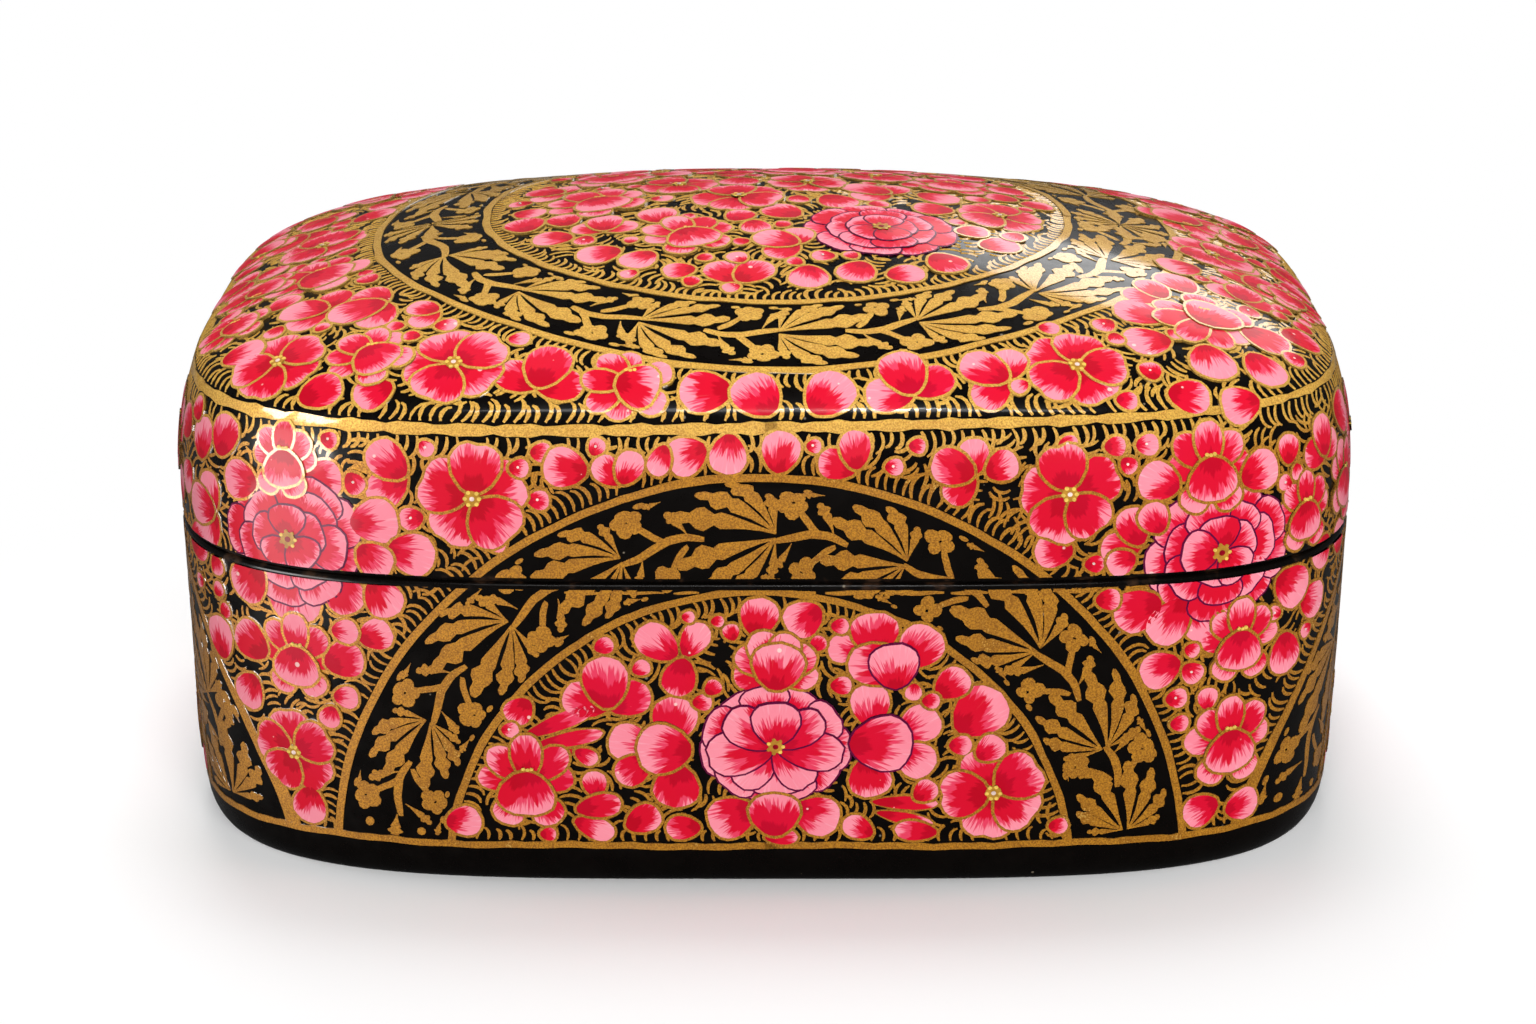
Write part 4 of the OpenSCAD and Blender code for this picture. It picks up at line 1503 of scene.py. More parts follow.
@dataclass(frozen=True)
class Compass:
    """The arcs that the painter drew with a compass on the walls, and the rings on the crown.

    The two reaches are about how many millimetres the whole of each ring's radius stands for.
    """

    form: BoxForm
    front_x: float = -0.6
    front_z: float = 1.2
    front_radii: tuple[float, float] = (52.6, 38.4)
    front_nodes: tuple[float, ...] = (0.008, 0.096, 0.216, 0.365, 0.485, 0.626, 0.745, 0.872)
    end_z: float = 2.5
    end_radii: tuple[float, float] = (46.0, 33.0)
    end_nodes: tuple[float, ...] = (0.01, 0.12, 0.26, 0.4, 0.54, 0.68, 0.82)
    ring_x: float = 1.6
    ring_y: float = 1.3
    ring_out: tuple[float, float] = (52.5, 46.3)
    ring_in: tuple[float, float] = (38.2, 34.5)
    ring_power: float = 2.15
    out_reach: float = 49.0
    in_reach: float = 36.0
    foot_line: float = 6.0

    def front_arc(self, turn: Turn, angle: Array, radius: Array) -> Array:
        """Returns points of an arc on the front, or on the back where turn says so."""
        x, z = self.front_x + radius * np.cos(angle), self.front_z + radius * np.sin(angle)
        return self.form.front(x, z) * np.array([turn.value, turn.value, 1])

    def end_arc(self, turn: Turn, angle: Array, radius: Array) -> Array:
        """Returns points of an arc on the right-hand end, or on the left where turn says so."""
        y, z = radius * np.cos(angle), self.end_z + radius * np.sin(angle)
        return self.form.right_end(y, z) * np.array([turn.value, turn.value, 1])

    def wall_bands(self) -> list[WallBand]:
        """Returns the bands of the front, the right-hand end, the back and the left-hand end."""
        bands = []
        for number, turn in enumerate(Turn):
            bands += [WallBand(partial(self.front_arc, turn), self.front_z, self.front_radii,
                               self.front_nodes, 30 + number),
                      WallBand(partial(self.end_arc, turn), self.end_z, self.end_radii,
                               self.end_nodes, 40 + number)]
        return bands

    def ring(self, turn: Array, out: Array) -> Array:
        """Returns points of the crown's band, out being 0 on its inner ring and 1 on its outer one."""
        rx = self.ring_in[0] + (self.ring_out[0] - self.ring_in[0]) * out
        ry = self.ring_in[1] + (self.ring_out[1] - self.ring_in[1]) * out
        x, y = oblong(turn, self.ring_power)
        return self.form.crown(self.ring_x + rx * x, self.ring_y + ry * y)

    def _ring_share(self, points: Array, radii: tuple[float, float]) -> Array:
        """Returns how far out each point is as a share of a ring."""
        across = np.abs(points[:, 0] - self.ring_x) / radii[0]
        deep = np.abs(points[:, 1] - self.ring_y) / radii[1]
        return (across**self.ring_power + deep**self.ring_power) ** (1 / self.ring_power)

    def clear(self, points: Array) -> Array:
        """Returns how far each point is from the bands in millimetres, negative inside a band."""
        x, y, z = points.T
        front = np.hypot(x * np.where(y < 0, 1, -1) - self.front_x, z - self.front_z)
        end = np.hypot(y, z - self.end_z)
        walls = [np.maximum(away - high, low - away)
                 for away, (high, low) in ((front, self.front_radii), (end, self.end_radii))]
        ring = np.maximum((self._ring_share(points, self.ring_out) - 1) * self.out_reach,
                          (1 - self._ring_share(points, self.ring_in)) * self.in_reach)
        return np.where(z > self.form.shoulder_z, ring, np.minimum(*walls))


class BandPath:
    """The middle line of a band, along which a scroll is drawn: (way along, way across) in millimetres."""

    def __init__(self, rail: Rail, span: tuple[float, float], half: float, samples: int = 600) -> None:
        self.rail, self.half = rail, half
        self.angles = np.linspace(*span, samples)
        self.way = way_along(rail(self.angles, np.zeros(samples)))
        self.length = float(self.way[-1])

    def __call__(self, flat: Array) -> Array:
        """Returns where points of the band are in space."""
        return self.rail(np.interp(flat[:, 0], self.way, self.angles), flat[:, 1])


class Scroll:
    """The gold leaf scroll of the bands: a vine with feathered leaves, small flowers, leaflets and dots."""

    def __init__(self, gold: PaintLayer, path: BandPath, seed: int) -> None:
        self.gold, self.path = gold, path
        self.dice = np.random.default_rng(seed)

    def _place(self, flat: Array) -> Array:
        """Returns drawn points in space, kept inside the band."""
        across = self.path.half - 0.9
        bent = np.stack([np.clip(flat[:, 0], 0, self.path.length - 0.3),
                         across * np.tanh(flat[:, 1] / across * 1.1) / math.tanh(1.1) * 0.98], axis=1)
        return self.path(bent)

    def _lay(self, tile: Tile) -> None:
        """Adds one tile."""
        self.gold.lay(tile, self._place)

    def frond(self, s: float, q: float, angle: float, length: float, width: float, curl: float = 0.3,
              lobed: bool = True) -> None:
        """Paints one blade of a leaf, narrow at its foot and lobed towards its end.

        Args:
            s: Where its foot is along the band.
            q: Where its foot is across the band.
            angle: Its direction in degrees away from the way along the band.
            length: Its length.
            width: Its width where it is widest.
            curl: How far it turns back along the band as it grows.
            lobed: Whether its edge is lobed.
        """
        roll = self.dice.uniform
        t = np.array([0, 0.14, 0.3, 0.45, 0.54, 0.6, 0.7, 0.77, 0.83, 0.92, 0.98, 1.0])
        heading = np.radians(angle) * (1 - curl * t)
        steps = np.diff(t, prepend=0)
        path = np.stack([np.cumsum(np.cos(heading) * steps), np.cumsum(np.sin(heading) * steps)], axis=1)
        path = path * length + [s, q]
        body = np.minimum(0.07 + 0.95 * (t / 0.7) ** 1.6, np.sqrt(np.clip((1.012 - t) / 0.3, 0, 1)))
        sides = []
        for notch in (roll(0.25, 0.6), roll(0.2, 0.5)):
            dents = np.exp(-(((t - 0.6) / 0.04) ** 2)) + np.exp(-(((t - 0.83) / 0.035) ** 2))
            sides.append(width / 2 * np.clip(body, 0, 1) * (1 - notch * dents * lobed))
        self._lay(blade_tile(path, np.array(sides), 0.07))

    def leaf(self, s: float, grow: float = 1.0, spread: float = 1.0) -> None:
        """Paints a leaf of lobed blades that opens along the band on both sides of the vine."""
        roll = self.dice.uniform
        for side in (1, -1):
            for angle, length, width in ((11, 10.8, 2.3), (33, 9.8, 2.5), (56, 8, 2.45), (86, 4.4, 1.5)):
                self.frond(s + 0.1, side * 0.24, side * (angle + roll(-2, 2)) * spread,
                           length * grow * roll(0.93, 1.06), width * grow, roll(0.05, 0.25))

    def flower(self, s: float, q: float, r: float = 1.9) -> None:
        """Paints a small gold flower of four or five lobes on a hooked stem from the vine."""
        turn = self.dice.uniform(0, 6.28)
        count = int(self.dice.integers(4, 6))
        for k in range(count):
            a = turn + k * 2 * math.pi / count
            size = r * self.dice.uniform(0.46, 0.6)
            lobe = ring_points(s + r * 0.6 * math.cos(a), q + r * 0.6 * math.sin(a), size, 10)
            self._lay(disc_tile(lobe, 0.07 + 0.004 * k, sink=-0.1))
        self.stroke([(s - 3.6, 0.1 * q), (s - 2.4, 0.3 * q), (s - 1.2, 0.62 * q), (s - 0.6, 0.9 * q)], 0.7)

    def leaflet(self, s: float, q: float, angle: float, length: float = 3.4, width: float = 1.5) -> None:
        """Paints a small loose leaf."""
        self.frond(s, q, angle, length * self.dice.uniform(0.85, 1.1), width, 0.25)

    def dot(self, s: float, q: float, r: float) -> None:
        """Paints a gold dot."""
        self._lay(disc_tile(ring_points(s, q, r, 9, 0.85), 0.07, sink=-0.1))

    def stroke(self, knots: list[tuple[float, float]], width: float) -> None:
        """Paints a line through a few points."""
        knots = np.array(knots)
        t = np.linspace(0, len(knots) - 1, 3 * len(knots))
        index = np.arange(len(knots))
        path = np.stack([np.interp(t, index, knots[:, 0]), np.interp(t, index, knots[:, 1])], axis=1)
        self._lay(stroke_tile(path, width, 0.08))

    def vine(self, start: float, end: float) -> None:
        """Paints the vine from one node to the next."""
        steps = np.linspace(start, end, max(4, int((end - start) / 1.6)))
        sway = 0.55 * np.sin((steps - start) * 0.5)
        self.stroke(list(zip(steps.tolist(), sway.tolist())), 0.75)

    def unit(self, s: float, pitch: float, spread: float = 1.0) -> None:
        """Paints one repeat: a leaf, then flowers, leaflets and dots on the way to the next node."""
        roll = self.dice.uniform
        flip = 1 if self.dice.random() < 0.5 else -1
        grow = min(max(pitch / 16.6, 0.84), 1.08)
        tip, rest = s + 10.2 * grow, pitch - 10.2 * grow
        self.leaf(s, grow * roll(0.97, 1.03), spread)
        self.vine(tip - 2.4, s + pitch + 0.3)
        self.flower(tip + 0.42 * rest, flip * 3.7, 1.75)
        self.flower(tip + 0.74 * rest, -flip * 3.5, 1.65)
        self.leaflet(tip - 0.5, -flip * 0.7, -flip * 62, 3.9, 1.6)
        self.leaflet(tip + 0.7 * rest, flip * 0.6, flip * 64, 3.6, 1.4)
        self.leaflet(tip + 0.95 * rest, flip * 5.1, -flip * 10, 2.4, 1.4)
        self.leaflet(tip + 0.2 * rest, -flip * 5.2, flip * 10, 2.3, 1.3)
        for along, across in ((0.1, 5.2), (0.5, -5.5), (0.9, 5.4)):
            self.dot(tip + rest * along, flip * across, roll(0.45, 0.75))

    def palmette(self, s: float, spread: Iterable[float], length: float = 6.2) -> None:
        """Paints blades that spread from one point."""
        for angle in spread:
            x, y = toward(angle, 0.4)
            self.frond(s + x, y, angle, length * self.dice.uniform(0.9, 1.05), 2.1, 0.05)


@dataclass
class Bands:
    """The compass-drawn bands: their gold lines, their scrolls, and the ridge and foot lines."""

    form: BoxForm
    girth: Girth
    compass: Compass
    gold: PaintLayer
    line: float = 0.95
    samples: int = 300
    ring_width: float = 13.5
    ridge_z: float = 59.75
    wear_z: float = 39.42
    dice: np.random.Generator = field(default_factory=lambda: np.random.default_rng(21))

    def _rails(self, left: Array, right: Array, lift: float = 0.12, loop: bool = False,
               step: int = 9) -> None:
        """Paints a line between two rails that run side by side in space.

        Args:
            left: One edge of the line as an array of (n, 3).
            right: The other edge.
            lift: How far the line stands above the skin.
            loop: Whether the line's end joins its start.
            step: How many of the rails' stretches each tile covers.
        """
        if loop:
            left, right = np.concatenate([left, left[:2]]), np.concatenate([right, right[:2]])
        for start in range(0, len(left) - 1, step):
            a, b = left[start:start + step + 1], right[start:start + step + 1]
            n = len(a)
            strip = np.stack([np.arange(n), np.zeros(n)], axis=1).astype(float)
            tile = blade_tile(strip, np.full(n, 0.5), lift)
            tile.flat = np.zeros((4 * n, 2))
            spots = np.concatenate([a, b, a, b])
            self.gold.lay(tile, lambda _, s=spots: s)

    def _arc(self, band: WallBand, radius: float, points: int = 90, blur: int = 5) -> None:
        """Paints one compass line of a wall, which wobbles slowly."""
        angle = np.linspace(*band.span(self.compass.foot_line, radius), points)
        wobble = 0.1 * np.convolve(self.dice.normal(size=points + blur - 1), np.ones(blur) / 2.2, "valid")
        half = self.line / 2
        self._rails(band.rail(angle, radius + half + wobble),
                    band.rail(angle, radius - half + 0.5 * wobble))

    def draw_lines(self) -> None:
        """Paints every line."""
        c, wall = self.compass, self.girth.wall
        for band in c.wall_bands():
            for radius in band.radii:
                self._arc(band, radius)
        angle = np.linspace(0, 2 * np.pi, self.samples, endpoint=False)
        half = self.line / 2 / self.ring_width
        for out in (0.0, 1.0):
            wobble = 0.008 * np.sin(angle * 23 + 5 * out) + 0.005 * np.sin(angle * 41)
            self._rails(c.ring(angle, out + half + wobble), c.ring(angle, out - half + 0.4 * wobble),
                        loop=True)
        u = np.linspace(0, self.girth.whole, self.samples, endpoint=False)
        z = c.foot_line - 0.35 + 0.12 * np.sin(u * 0.21) + 0.07 * np.sin(u * 0.83)
        self._rails(wall(u, z - 0.45), wall(u, z + 0.45 + 0.08 * np.sin(u * 1.7)), loop=True)
        z = self.ridge(u)
        edge = 0.14 * np.sin(u * 0.9) + 0.1 * np.sin(u * 2.3)
        self._rails(wall(u, z - 0.62 - edge), wall(u, z + 0.68 + edge), 0.13, loop=True)

    def draw_rim_wear(self) -> None:
        """Paints the broken gold line that is left along the front of the base's rim."""
        spot = -24.0
        while spot < 50:
            run = self.dice.uniform(3, 9)
            u = np.linspace(spot, spot + run, 9)
            z = self.wear_z + 0.06 * np.sin(u * 1.3)
            half = self.dice.uniform(0.2, 0.32) * np.sin(np.linspace(0.4, 2.74, 9))
            for turn in Turn:
                around = u if turn is Turn.AS_PLACED else u + self.girth.whole / 2
                self._rails(self.girth.wall(around, z - half), self.girth.wall(around, z + half), 0.08)
            spot += run + self.dice.uniform(0.3, 2.6)

    def ridge(self, u: Array) -> Array:
        """Returns the height of the line along the shoulder, which strays up a little on one side."""
        half = self.girth.whole / 2
        return self.ridge_z + 0.75 * np.sin((u - 15) * 2 * np.pi / half)

    def draw_scrolls(self, units: int = 16, palmette_every: int = 8) -> None:
        """Paints the scroll of every band."""
        for band in self.compass.wall_bands():
            self._wall_scroll(band)
        path = BandPath(lambda a, q: self.compass.ring(a, 0.5 + q / 13.6), (-math.pi, math.pi), 6.6)
        scroll = Scroll(self.gold, path, 55)
        pitch = path.length / units
        for k in range(units):
            if k % palmette_every == 0:
                scroll.palmette(k * pitch + 1.2, range(0, 360, 30), 6.8)
                scroll.vine(k * pitch + 4, (k + 1) * pitch + 0.3)
                for side in (1, -1):
                    scroll.flower(k * pitch + pitch * 0.7, side * 3.7)
                    scroll.leaflet(k * pitch + pitch * 0.52, side * 3.2, side * 30)
                    scroll.dot(k * pitch + pitch * 0.86, side * 5.3, 0.6)
            else:
                scroll.unit(k * pitch, pitch)

    def _wall_scroll(self, band: WallBand) -> None:
        """Paints a wall band's scroll, from its right-hand foot over its top to its left-hand foot."""
        span = band.span(self.compass.foot_line, band.radius)
        path = BandPath(band.along, span, (band.radii[0] - band.radii[1]) / 2)
        scroll = Scroll(self.gold, path, band.seed)
        stops = [path.length * share for share in band.nodes] + [path.length - 3.4]
        for s, after in zip(stops, stops[1:]):
            scroll.unit(s, after - s)
        scroll.leaflet(path.length - 3.2, 0, 0, 3, 1.5)
        for side in (1, -1):
            scroll.dot(path.length - 1.5, side * 2.6, 0.6)


# --- The ground of fine gold strokes ---


@dataclass
class StrokeGround:
    """Fills what the flowers leave bare with combs of short curved gold strokes."""

    form: BoxForm
    girth: Girth
    compass: Compass
    bands: Bands
    gold: PaintLayer
    covered: list[tuple[Array, float]]
    spacing: float = 2.5
    width: float = 0.42
    wall_tries: int = 26000
    crown_tries: int = 16000
    band_gap: float = 3.6
    ridge_gap: float = 3.4
    lowest: float = 9.4
    petal_reach: float = 3.6
    dice: np.random.Generator = field(default_factory=lambda: np.random.default_rng(3))

    def __post_init__(self) -> None:
        """Files the petals by place, so that strokes wholly under them can be left out."""
        self.tree = KDTree(len(self.covered))
        for index, (spot, _) in enumerate(self.covered):
            self.tree.insert(spot, index)
        self.tree.balance()

    def hidden(self, spot: Array) -> bool:
        """Returns whether a petal lies over a point."""
        near = self.tree.find_range(spot, self.petal_reach)
        return any(away < self.covered[index][1] - 0.15 for _, index, away in near)

    def _stroke(self, seat: Seat, path: Array, width: float) -> None:
        """Paints one stroke unless petals hide it or it runs into a band."""
        ends = seat(path[[0, len(path) // 2, -1]])
        if all(self.hidden(spot) for spot in ends):
            return
        if self.compass.clear(ends).min() < 0.2 or ends[:, 2].min() < self.compass.foot_line + 0.2:
            return
        self.gold.lay(stroke_tile(path, width), seat)

    @staticmethod
    def _bow(x: float, y: float, angle: float, length: float, bend: float, hook: float = 0.0) -> Array:
        """Returns a curved path that starts at (x, y) and heads off at an angle in radians."""
        t = np.linspace(0, 1, 6)
        heading = angle + bend * (t - 0.5) + hook * t**3
        path = np.stack([np.cumsum(np.cos(heading)), np.cumsum(np.sin(heading))], axis=1)
        return (path - path[0]) * length / 5 + [x, y]

    def comb(self, seat: Seat, angle: float) -> None:
        """Paints a comb of a few strokes that bow the same way, side by side."""
        roll = self.dice.uniform
        count = int(self.dice.integers(3, 6))
        pitch, length, bend = roll(1.0, 1.25), roll(2.2, 3.9), roll(0.9, 1.9) * self.dice.choice([-1, 1])
        for k in range(count):
            shift = (k - (count - 1) / 2) * pitch
            x = -math.sin(angle) * shift - math.cos(angle) * length / 2
            y = math.cos(angle) * shift - math.sin(angle) * length / 2
            path = self._bow(x + roll(-0.2, 0.2), y + roll(-0.2, 0.2), angle + roll(-0.15, 0.15),
                             length * roll(0.75, 1.1), bend)
            self._stroke(seat, path, self.width * roll(0.85, 1.15))

    def fringe(self, line: Array, outward: Array, pitch: float, length: float) -> None:
        """Paints strokes that stand on a line.

        Args:
            line: The line as an array of (n, 3).
            outward: For each point of it, a second point on the side where the strokes stand.
            pitch: How far apart the strokes are.
            length: How long they are.
        """
        way = way_along(line)
        steps = np.arange(0.5, way[-1], pitch)
        spots = np.stack([np.interp(steps, way, line[:, k]) for k in range(3)], axis=1)
        sides = np.stack([np.interp(steps, way, outward[:, k]) for k in range(3)], axis=1)
        roll, bend = self.dice.uniform, 1.1
        for seat, spot, side in zip(Seat.row(self.form, spots), spots, sides):
            if self.dice.random() < 0.06:
                bend = -bend
            arrow = side - spot
            angle = math.atan2(float(arrow @ seat.up), float(arrow @ seat.right))
            path = self._bow(0, 0, angle + roll(-0.2, 0.2), length * roll(0.7, 1.25), bend, 0.5 * bend)
            middle = seat(path[2:3])[0]
            if not self.hidden(middle) and self.compass.clear(middle[None])[0] > 0:
                self.gold.lay(stroke_tile(path, self.width * roll(0.85, 1.2)), seat)

    def draw_fringes(self) -> None:
        """Paints the fringes of the bands and of the line along the shoulder."""
        c, wall = self.compass, self.girth.wall
        for band in c.wall_bands():
            for radius, side in zip(band.radii, (1, -1)):
                angle = np.linspace(*band.span(c.foot_line + 0.6, radius), 160)
                self.fringe(band.rail(angle, radius + side * 0.6), band.rail(angle, radius + side * 2.6),
                            1.08, 3.3)
        angle = np.linspace(0, 2 * np.pi, 400)
        for near, away, pitch, length in ((1.04, 1.2, 1.05, 2.7), (-0.04, -0.2, 1.1, 2.4)):
            self.fringe(c.ring(angle, near), c.ring(angle, away), pitch, length)
        u = np.linspace(0, self.girth.whole, 500)
        ridge = self.bands.ridge(u)
        self.fringe(wall(u, ridge - 0.8), wall(u, ridge - 3), 1.2, 3.0)
        above = self.form.settle(wall(u, ridge + 1.0))[0]
        inner = above * np.array([0.965, 0.95, 1]) + [0, 0, 1.2]
        self.fringe(above, self.form.settle(inner)[0], 1.25, 3.6)
        self.fringe(wall(u, c.foot_line + 0.3), wall(u, c.foot_line + 3), 1.4, 2.2)

    def fill(self) -> None:
        """Scatters combs evenly over all the bare ground, turned by slow waves across it."""
        spots = self._bare_spots()
        drift = (np.sin(spots @ np.array([0.13, 0.11, 0.17])) * 2.2
                 + np.sin(spots @ np.array([-0.07, 0.15, 0.21])) * 2)
        chosen = self._spread(spots)
        for index, seat in zip(chosen, Seat.row(self.form, spots[chosen])):
            self.comb(seat, float(drift[index]) + self.dice.uniform(-0.5, 0.5))

    def _bare_spots(self) -> Array:
        """Returns many chance points of the skin that are clear of the bands, the ridge and the foot."""
        walls = self.girth.wall(self.dice.uniform(0, self.girth.whole, self.wall_tries),
                                self.dice.uniform(7.4, 58, self.wall_tries))
        plan = self.dice.uniform(-1, 1, (self.crown_tries, 2))
        plan *= [self.form.half_w - 3, self.form.half_d - 3]
        plan = plan[self.form.crown_share(*plan.T) < 0.985]
        spots = np.concatenate([walls, self.form.crown(*plan.T)])
        spots = spots[self.compass.clear(spots) > self.band_gap]
        x, y, z = spots.T
        ridge = self.bands.ridge(self.girth.of_points(spots))
        on_crown = self.form.crown_share(x, y) < 0.955
        on_wall = (z < ridge - self.ridge_gap) & (z > self.lowest)
        return spots[np.where(z > self.form.shoulder_z, on_crown, on_wall)]

    def _spread(self, spots: Array) -> list[int]:
        """Returns the points that are kept so that no two are nearer than the spacing, in chance order."""
        around = [(dx, dy, dz) for dx in (-1, 0, 1) for dy in (-1, 0, 1) for dz in (-1, 0, 1)]
        taken: dict[tuple[int, int, int], list[Array]] = {}
        chosen: list[int] = []
        for index in self.dice.permutation(len(spots)):
            spot = spots[index]
            cell = tuple((spot // self.spacing).astype(int))
            near = [other for dx, dy, dz in around
                    for other in taken.get((cell[0] + dx, cell[1] + dy, cell[2] + dz), [])]
            if all(float(((spot - other) ** 2).sum()) >= self.spacing**2 for other in near):
                taken.setdefault(cell, []).append(spot)
                chosen.append(index)
        return chosen


class Gardener:
    """Fills the gaps that the planned flowers leave on the sides and the back."""

    kinds: tuple[tuple[Kind, float], ...] = (
        (ROSETTE, 5.6), (CUP, 5.0), (TRIPLE, 4.2), (SINGLE, 2.8), (SINGLE, 2.3), (BUD, 1.5), (BUD, 1.1))
    wall_tries: int = 1500
    crown_tries: int = 1300
    crowding: float = 0.94

    def __init__(self, form: BoxForm, girth: Girth, compass: Compass, bed: FlowerBed,
                 seed: int = 11) -> None:
        self.form, self.girth, self.compass, self.bed = form, girth, compass, bed
        self.dice = np.random.default_rng(seed)
        self._note()

    def _note(self) -> None:
        """Notes where every petal is."""
        self.spots = np.array([spot for spot, _ in self.bed.covered])
        self.radii = np.array([radius for _, radius in self.bed.covered])

    def _free(self, spot: Array, radius: float) -> bool:
        """Returns whether a flower of that radius fits between the ridge, the foot and the petals."""
        ridge = abs(spot[2] - self.form.shoulder_z)
        if ridge < radius * 0.7 + 1.2 or spot[2] < self.compass.foot_line + radius + 0.8:
            return False
        away = np.sqrt(((self.spots - spot) ** 2).sum(axis=1)) - self.radii
        return bool(away.min() > radius * self.crowding)

    def fill(self) -> None:
        """Plants ever smaller flowers where they fit."""
        dice = self.dice
        for kind, radius in self.kinds:
            walls = self.girth.wall(dice.uniform(0, self.girth.whole, self.wall_tries),
                                    dice.uniform(8, 57.4, self.wall_tries))
            plan = dice.uniform(-1, 1, (self.crown_tries, 2)) * [self.form.half_w - 5, self.form.half_d - 5]
            plan = plan[self.form.crown_share(*plan.T) < 0.96]
            spots = np.concatenate([walls, self.form.crown(*plan.T)])
            for spot in spots[self.compass.clear(spots) > radius + 1.6]:
                if self._free(spot, radius):
                    turn = dice.uniform(0, 360)
                    self.bed.plant(Bloom(kind, 0, 0, radius * dice.uniform(0.9, 1.05), turn), spot)
                    self._note()


@dataclass
class Painting:
    """All the paint on the box."""

    form: BoxForm
    effects: Effects
    plan: FlowerPlan = field(default_factory=FlowerPlan)

    def paint(self) -> None:
        """Paints the flowers, the bands and the ground, and makes the pieces."""
        form = self.form
        girth, compass = Girth(form), Compass(form)
        petals = PaintLayer("petals", form, girth, Atlas.CELLS, PetalPaint().make(self.effects))
        gold = PaintLayer("gold", form, girth, Atlas.AS_LAID, GoldPaint().make(self.effects))
        fine = PaintLayer("fine_lines", form, girth, Atlas.CELLS, FinePaint().make(self.effects),
                          halves=False)
        bed = FlowerBed(form, petals, gold, fine)
        self._plant(bed, girth)
        Gardener(form, girth, compass, bed).fill()
        log.info("flowers: %d petals", len(bed.covered))
        bands = Bands(form, girth, compass, gold)
        bands.draw_lines()
        bands.draw_rim_wear()
        bands.draw_scrolls()
        ground = StrokeGround(form, girth, compass, bands, gold, bed.covered)
        ground.draw_fringes()
        ground.fill()
        for layer in (petals, gold, fine):
            layer.make_pieces()

    def _plant(self, bed: FlowerBed, girth: Girth) -> None:
        """Plants every planned flower, on the front and turned half round on the back."""
        plan, form = self.plan, self.form
        fields = ((plan.front, form.front), (plan.end_medallion(), form.right_end),
                  (plan.left_corner + plan.right_corner + plan.wall_row + plan.end_row, girth.wall),
                  (plan.crown_front + plan.crown_left + plan.crown_right, form.crown))
        for turn in Turn:
            for flowers, ground in fields:
                self._plant_on(bed, flowers, ground, turn)
        self._plant_on(bed, plan.crown_middle, form.crown, Turn.AS_PLACED)

    @staticmethod
    def _plant_on(bed: FlowerBed, flowers: Iterable[Bloom], ground: Rail, turn: Turn) -> None:
        """Plants flowers where ground puts their places."""
        for bloom in flowers:
            bed.plant(bloom, ground(np.array([bloom.x]), np.array([bloom.y])), turn)


# --- The studio ---


@dataclass(frozen=True)
class Lamp:
    """A soft lamp that faces a point of the box.

    A gloss lamp is oval and only shows as a gleam in the lacquer. The others are oblong and give the
    light without a gleam.
    """

    name: str
    place: tuple[float, float, float]
    size: tuple[float, float]
    watts: float
    gloss: bool = False
    aim: tuple[float, float, float] = (0.0, 0.0, 0.04)

    def light(self) -> None:
        """Hangs the lamp."""
        data = bpy.data.lights.new(self.name, "AREA")
        data.shape = "ELLIPSE" if self.gloss else "RECTANGLE"
        data.size, data.size_y = self.size
        data.energy = self.watts
        lamp = new_object(self.name, data)
        lamp.visible_glossy, lamp.visible_diffuse, lamp.visible_camera = self.gloss, not self.gloss, False
        x, y, z = np.array(self.aim) - np.array(self.place)
        lamp.location = self.place
        lamp.rotation_euler = (math.pi / 2 + math.atan2(z, math.hypot(x, y)), 0,
                               math.atan2(y, x) - math.pi / 2)


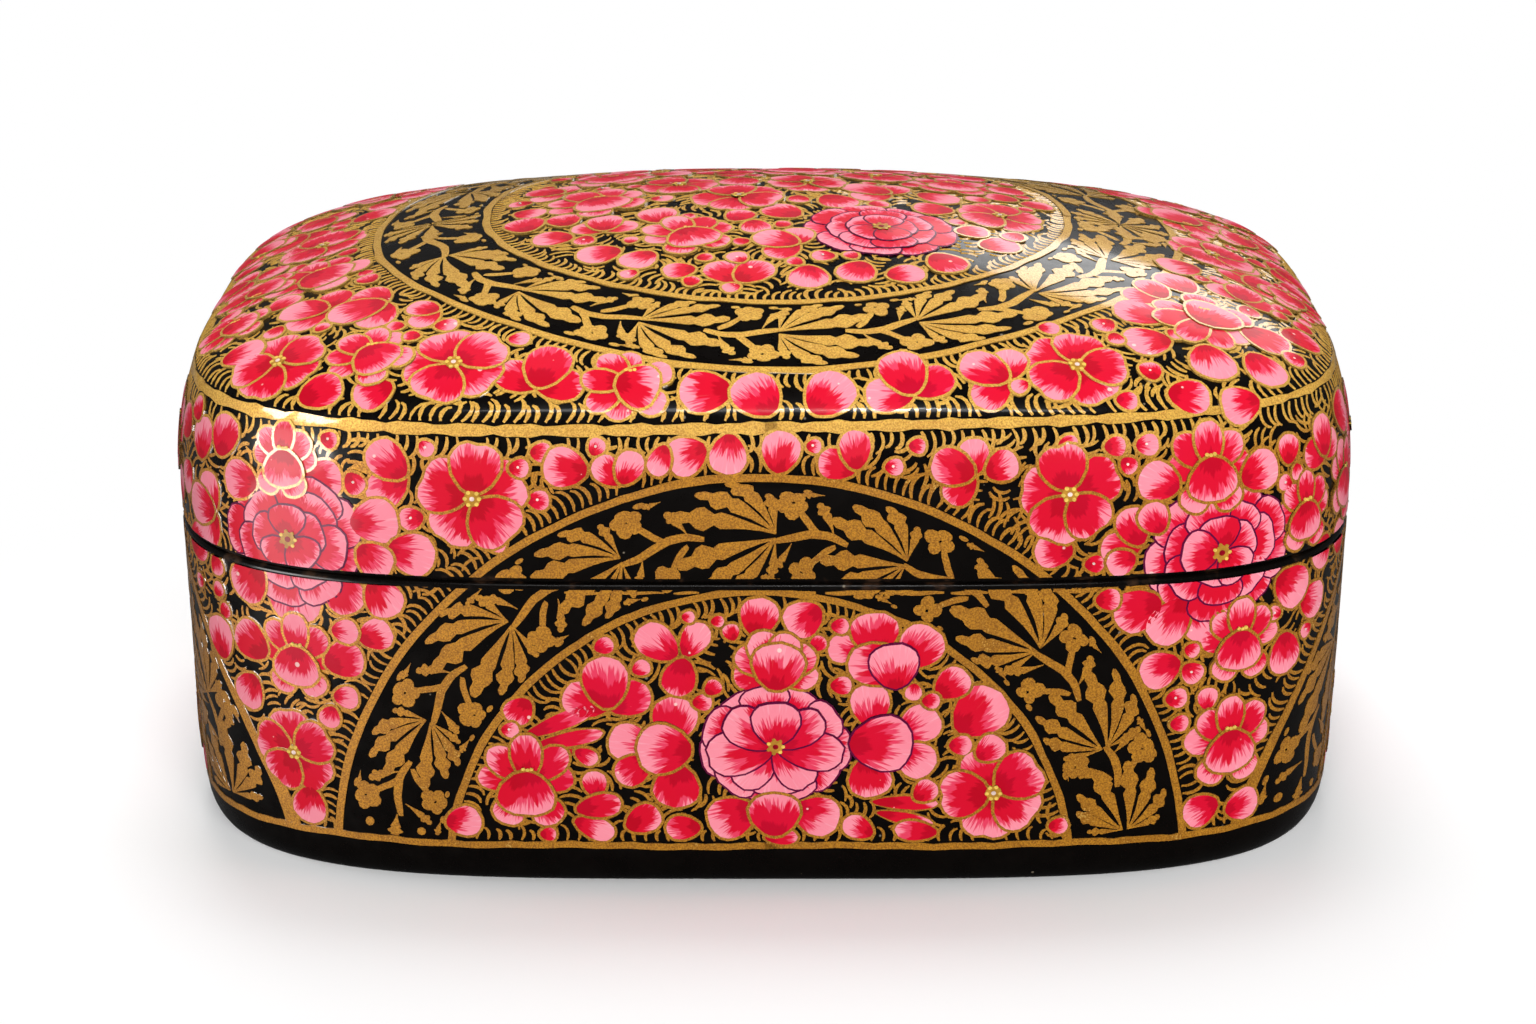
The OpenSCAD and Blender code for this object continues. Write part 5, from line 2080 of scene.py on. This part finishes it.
@dataclass(frozen=True)
class Studio:
    """A white table in soft light, and the camera at the photograph's place."""

    lamps: tuple[Lamp, ...] = (
        Lamp("key", (0.1, -1.05, 0.45), (0.9, 0.5), 14.0),
        Lamp("overhead", (0.0, 0.4, 1.05), (0.45, 0.45), 6.6),
        Lamp("back_fill", (-0.2, 0.95, 0.5), (0.6, 0.5), 5.0),
        Lamp("left_fill", (-1.0, 0.1, 0.4), (0.5, 0.5), 3.4),
        Lamp("right_fill", (1.0, -0.1, 0.4), (0.5, 0.5), 3.4),
        Lamp("ridge_glow", (0.02, -0.62, 0.9), (0.6, 0.1), 1.2, True),
        Lamp("ridge_glint", (0.05, -0.5, 0.8), (0.1, 0.02), 0.3, True),
        Lamp("left_strip", (-0.72, -0.52, 0.14), (0.5, 0.26), 4.4, True),
        Lamp("left_low", (-0.13, -0.107, 0.024), (0.085, 0.05), 0.07, True, (-0.057, -0.0475, 0.045)),
        Lamp("right_back", (0.3, 0.78, 0.5), (0.44, 0.32), 1.0, True),
    )
    room_light: float = 0.07
    eye: tuple[float, float, float] = (0.00038, -0.41339, 0.18028)
    down: float = 19.89
    lens: float = 75.88
    table_reach: float = 3.0

    def build(self) -> None:
        """Sets up the lamps, the world, the table and the camera."""
        for lamp in self.lamps:
            lamp.light()
        self._world()
        self._table()
        data = bpy.data.cameras.new("camera")
        data.lens, data.sensor_width, data.sensor_fit = self.lens, 36.0, "HORIZONTAL"
        data.clip_start = 0.01
        camera = new_object("camera", data)
        camera.location = self.eye
        camera.rotation_euler = (math.radians(90 - self.down), 0, 0)
        bpy.context.scene.camera = camera
        bpy.context.scene.view_settings.view_transform = "Standard"

    def _world(self) -> None:
        """Makes a white surrounding that lights the box softly and shows as white."""
        world = bpy.data.worlds.new("white_room")
        graph = empty_graph(world)
        seen = graph.add("ShaderNodeLightPath").outputs["Is Camera Ray"]
        strength = graph.sums("MULTIPLY_ADD", seen, 1 - self.room_light, self.room_light)
        back = graph.add("ShaderNodeBackground", {0: (1, 1, 1, 1), 1: strength})
        graph.add("ShaderNodeOutputWorld", {0: back.outputs[0]})
        bpy.context.scene.world = world

    def _table(self) -> None:
        """Lays the white table, which keeps the box's shadow near it and is plain white farther away."""
        mesh = bpy.data.meshes.new("table")
        far = self.table_reach
        mesh.from_pydata([(-far, -far, 0), (far, -far, 0), (far, far, 0), (-far, far, 0)], [],
                         [(0, 1, 2, 3)])
        table = new_object("table", mesh)
        material = bpy.data.materials.new("white_table")
        graph = empty_graph(material)
        away = graph.add("ShaderNodeVectorMath", {0: graph.place(), 1: (0.8, 1.0, 1.0)},
                         operation="MULTIPLY").outputs[0]
        away = graph.add("ShaderNodeVectorMath", {0: away}, operation="LENGTH").outputs["Value"]
        dim = graph.add("ShaderNodeBsdfDiffuse", {0: (0.09, 0.09, 0.09, 1)}).outputs[0]
        plain = graph.add("ShaderNodeBsdfDiffuse", {0: (0.9, 0.9, 0.9, 1)}).outputs[0]
        glow = graph.add("ShaderNodeEmission", {0: (1, 1, 1, 1), 1: 1.0}).outputs[0]
        white = graph.add("ShaderNodeMixShader", {0: graph.ease(away, 0.045, 0.12), 1: plain, 2: glow})
        seen = graph.add("ShaderNodeLightPath").outputs["Is Camera Ray"]
        mixed = graph.add("ShaderNodeMixShader", {0: seen, 1: dim, 2: white.outputs[0]})
        graph.add("ShaderNodeOutputMaterial", {0: mixed.outputs[0]})
        mesh.materials.append(material)


def main() -> None:
    """Builds the box's looks in order."""
    logging.basicConfig(level=logging.INFO, format="%(message)s")
    form = BoxForm.from_part()
    effects = Effects()
    base = MouldedBase(form).build(BlackLacquer("base_lacquer", (form.rim_z - 0.5) * MM, 1.0).make(effects))
    log.info("%s: %d faces", base.name, len(base.data.polygons))
    lid = MouldedLid(form).build(BlackLacquer("lid_lacquer", -1.0, (form.rim_z + 0.5) * MM).make(effects))
    log.info("%s: %d faces", lid.name, len(lid.data.polygons))
    Inside(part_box("collar")[1][2] / MM).dress(effects)
    Painting(form, effects).paint()
    Studio().build()


if __name__ == "__main__":
    main()
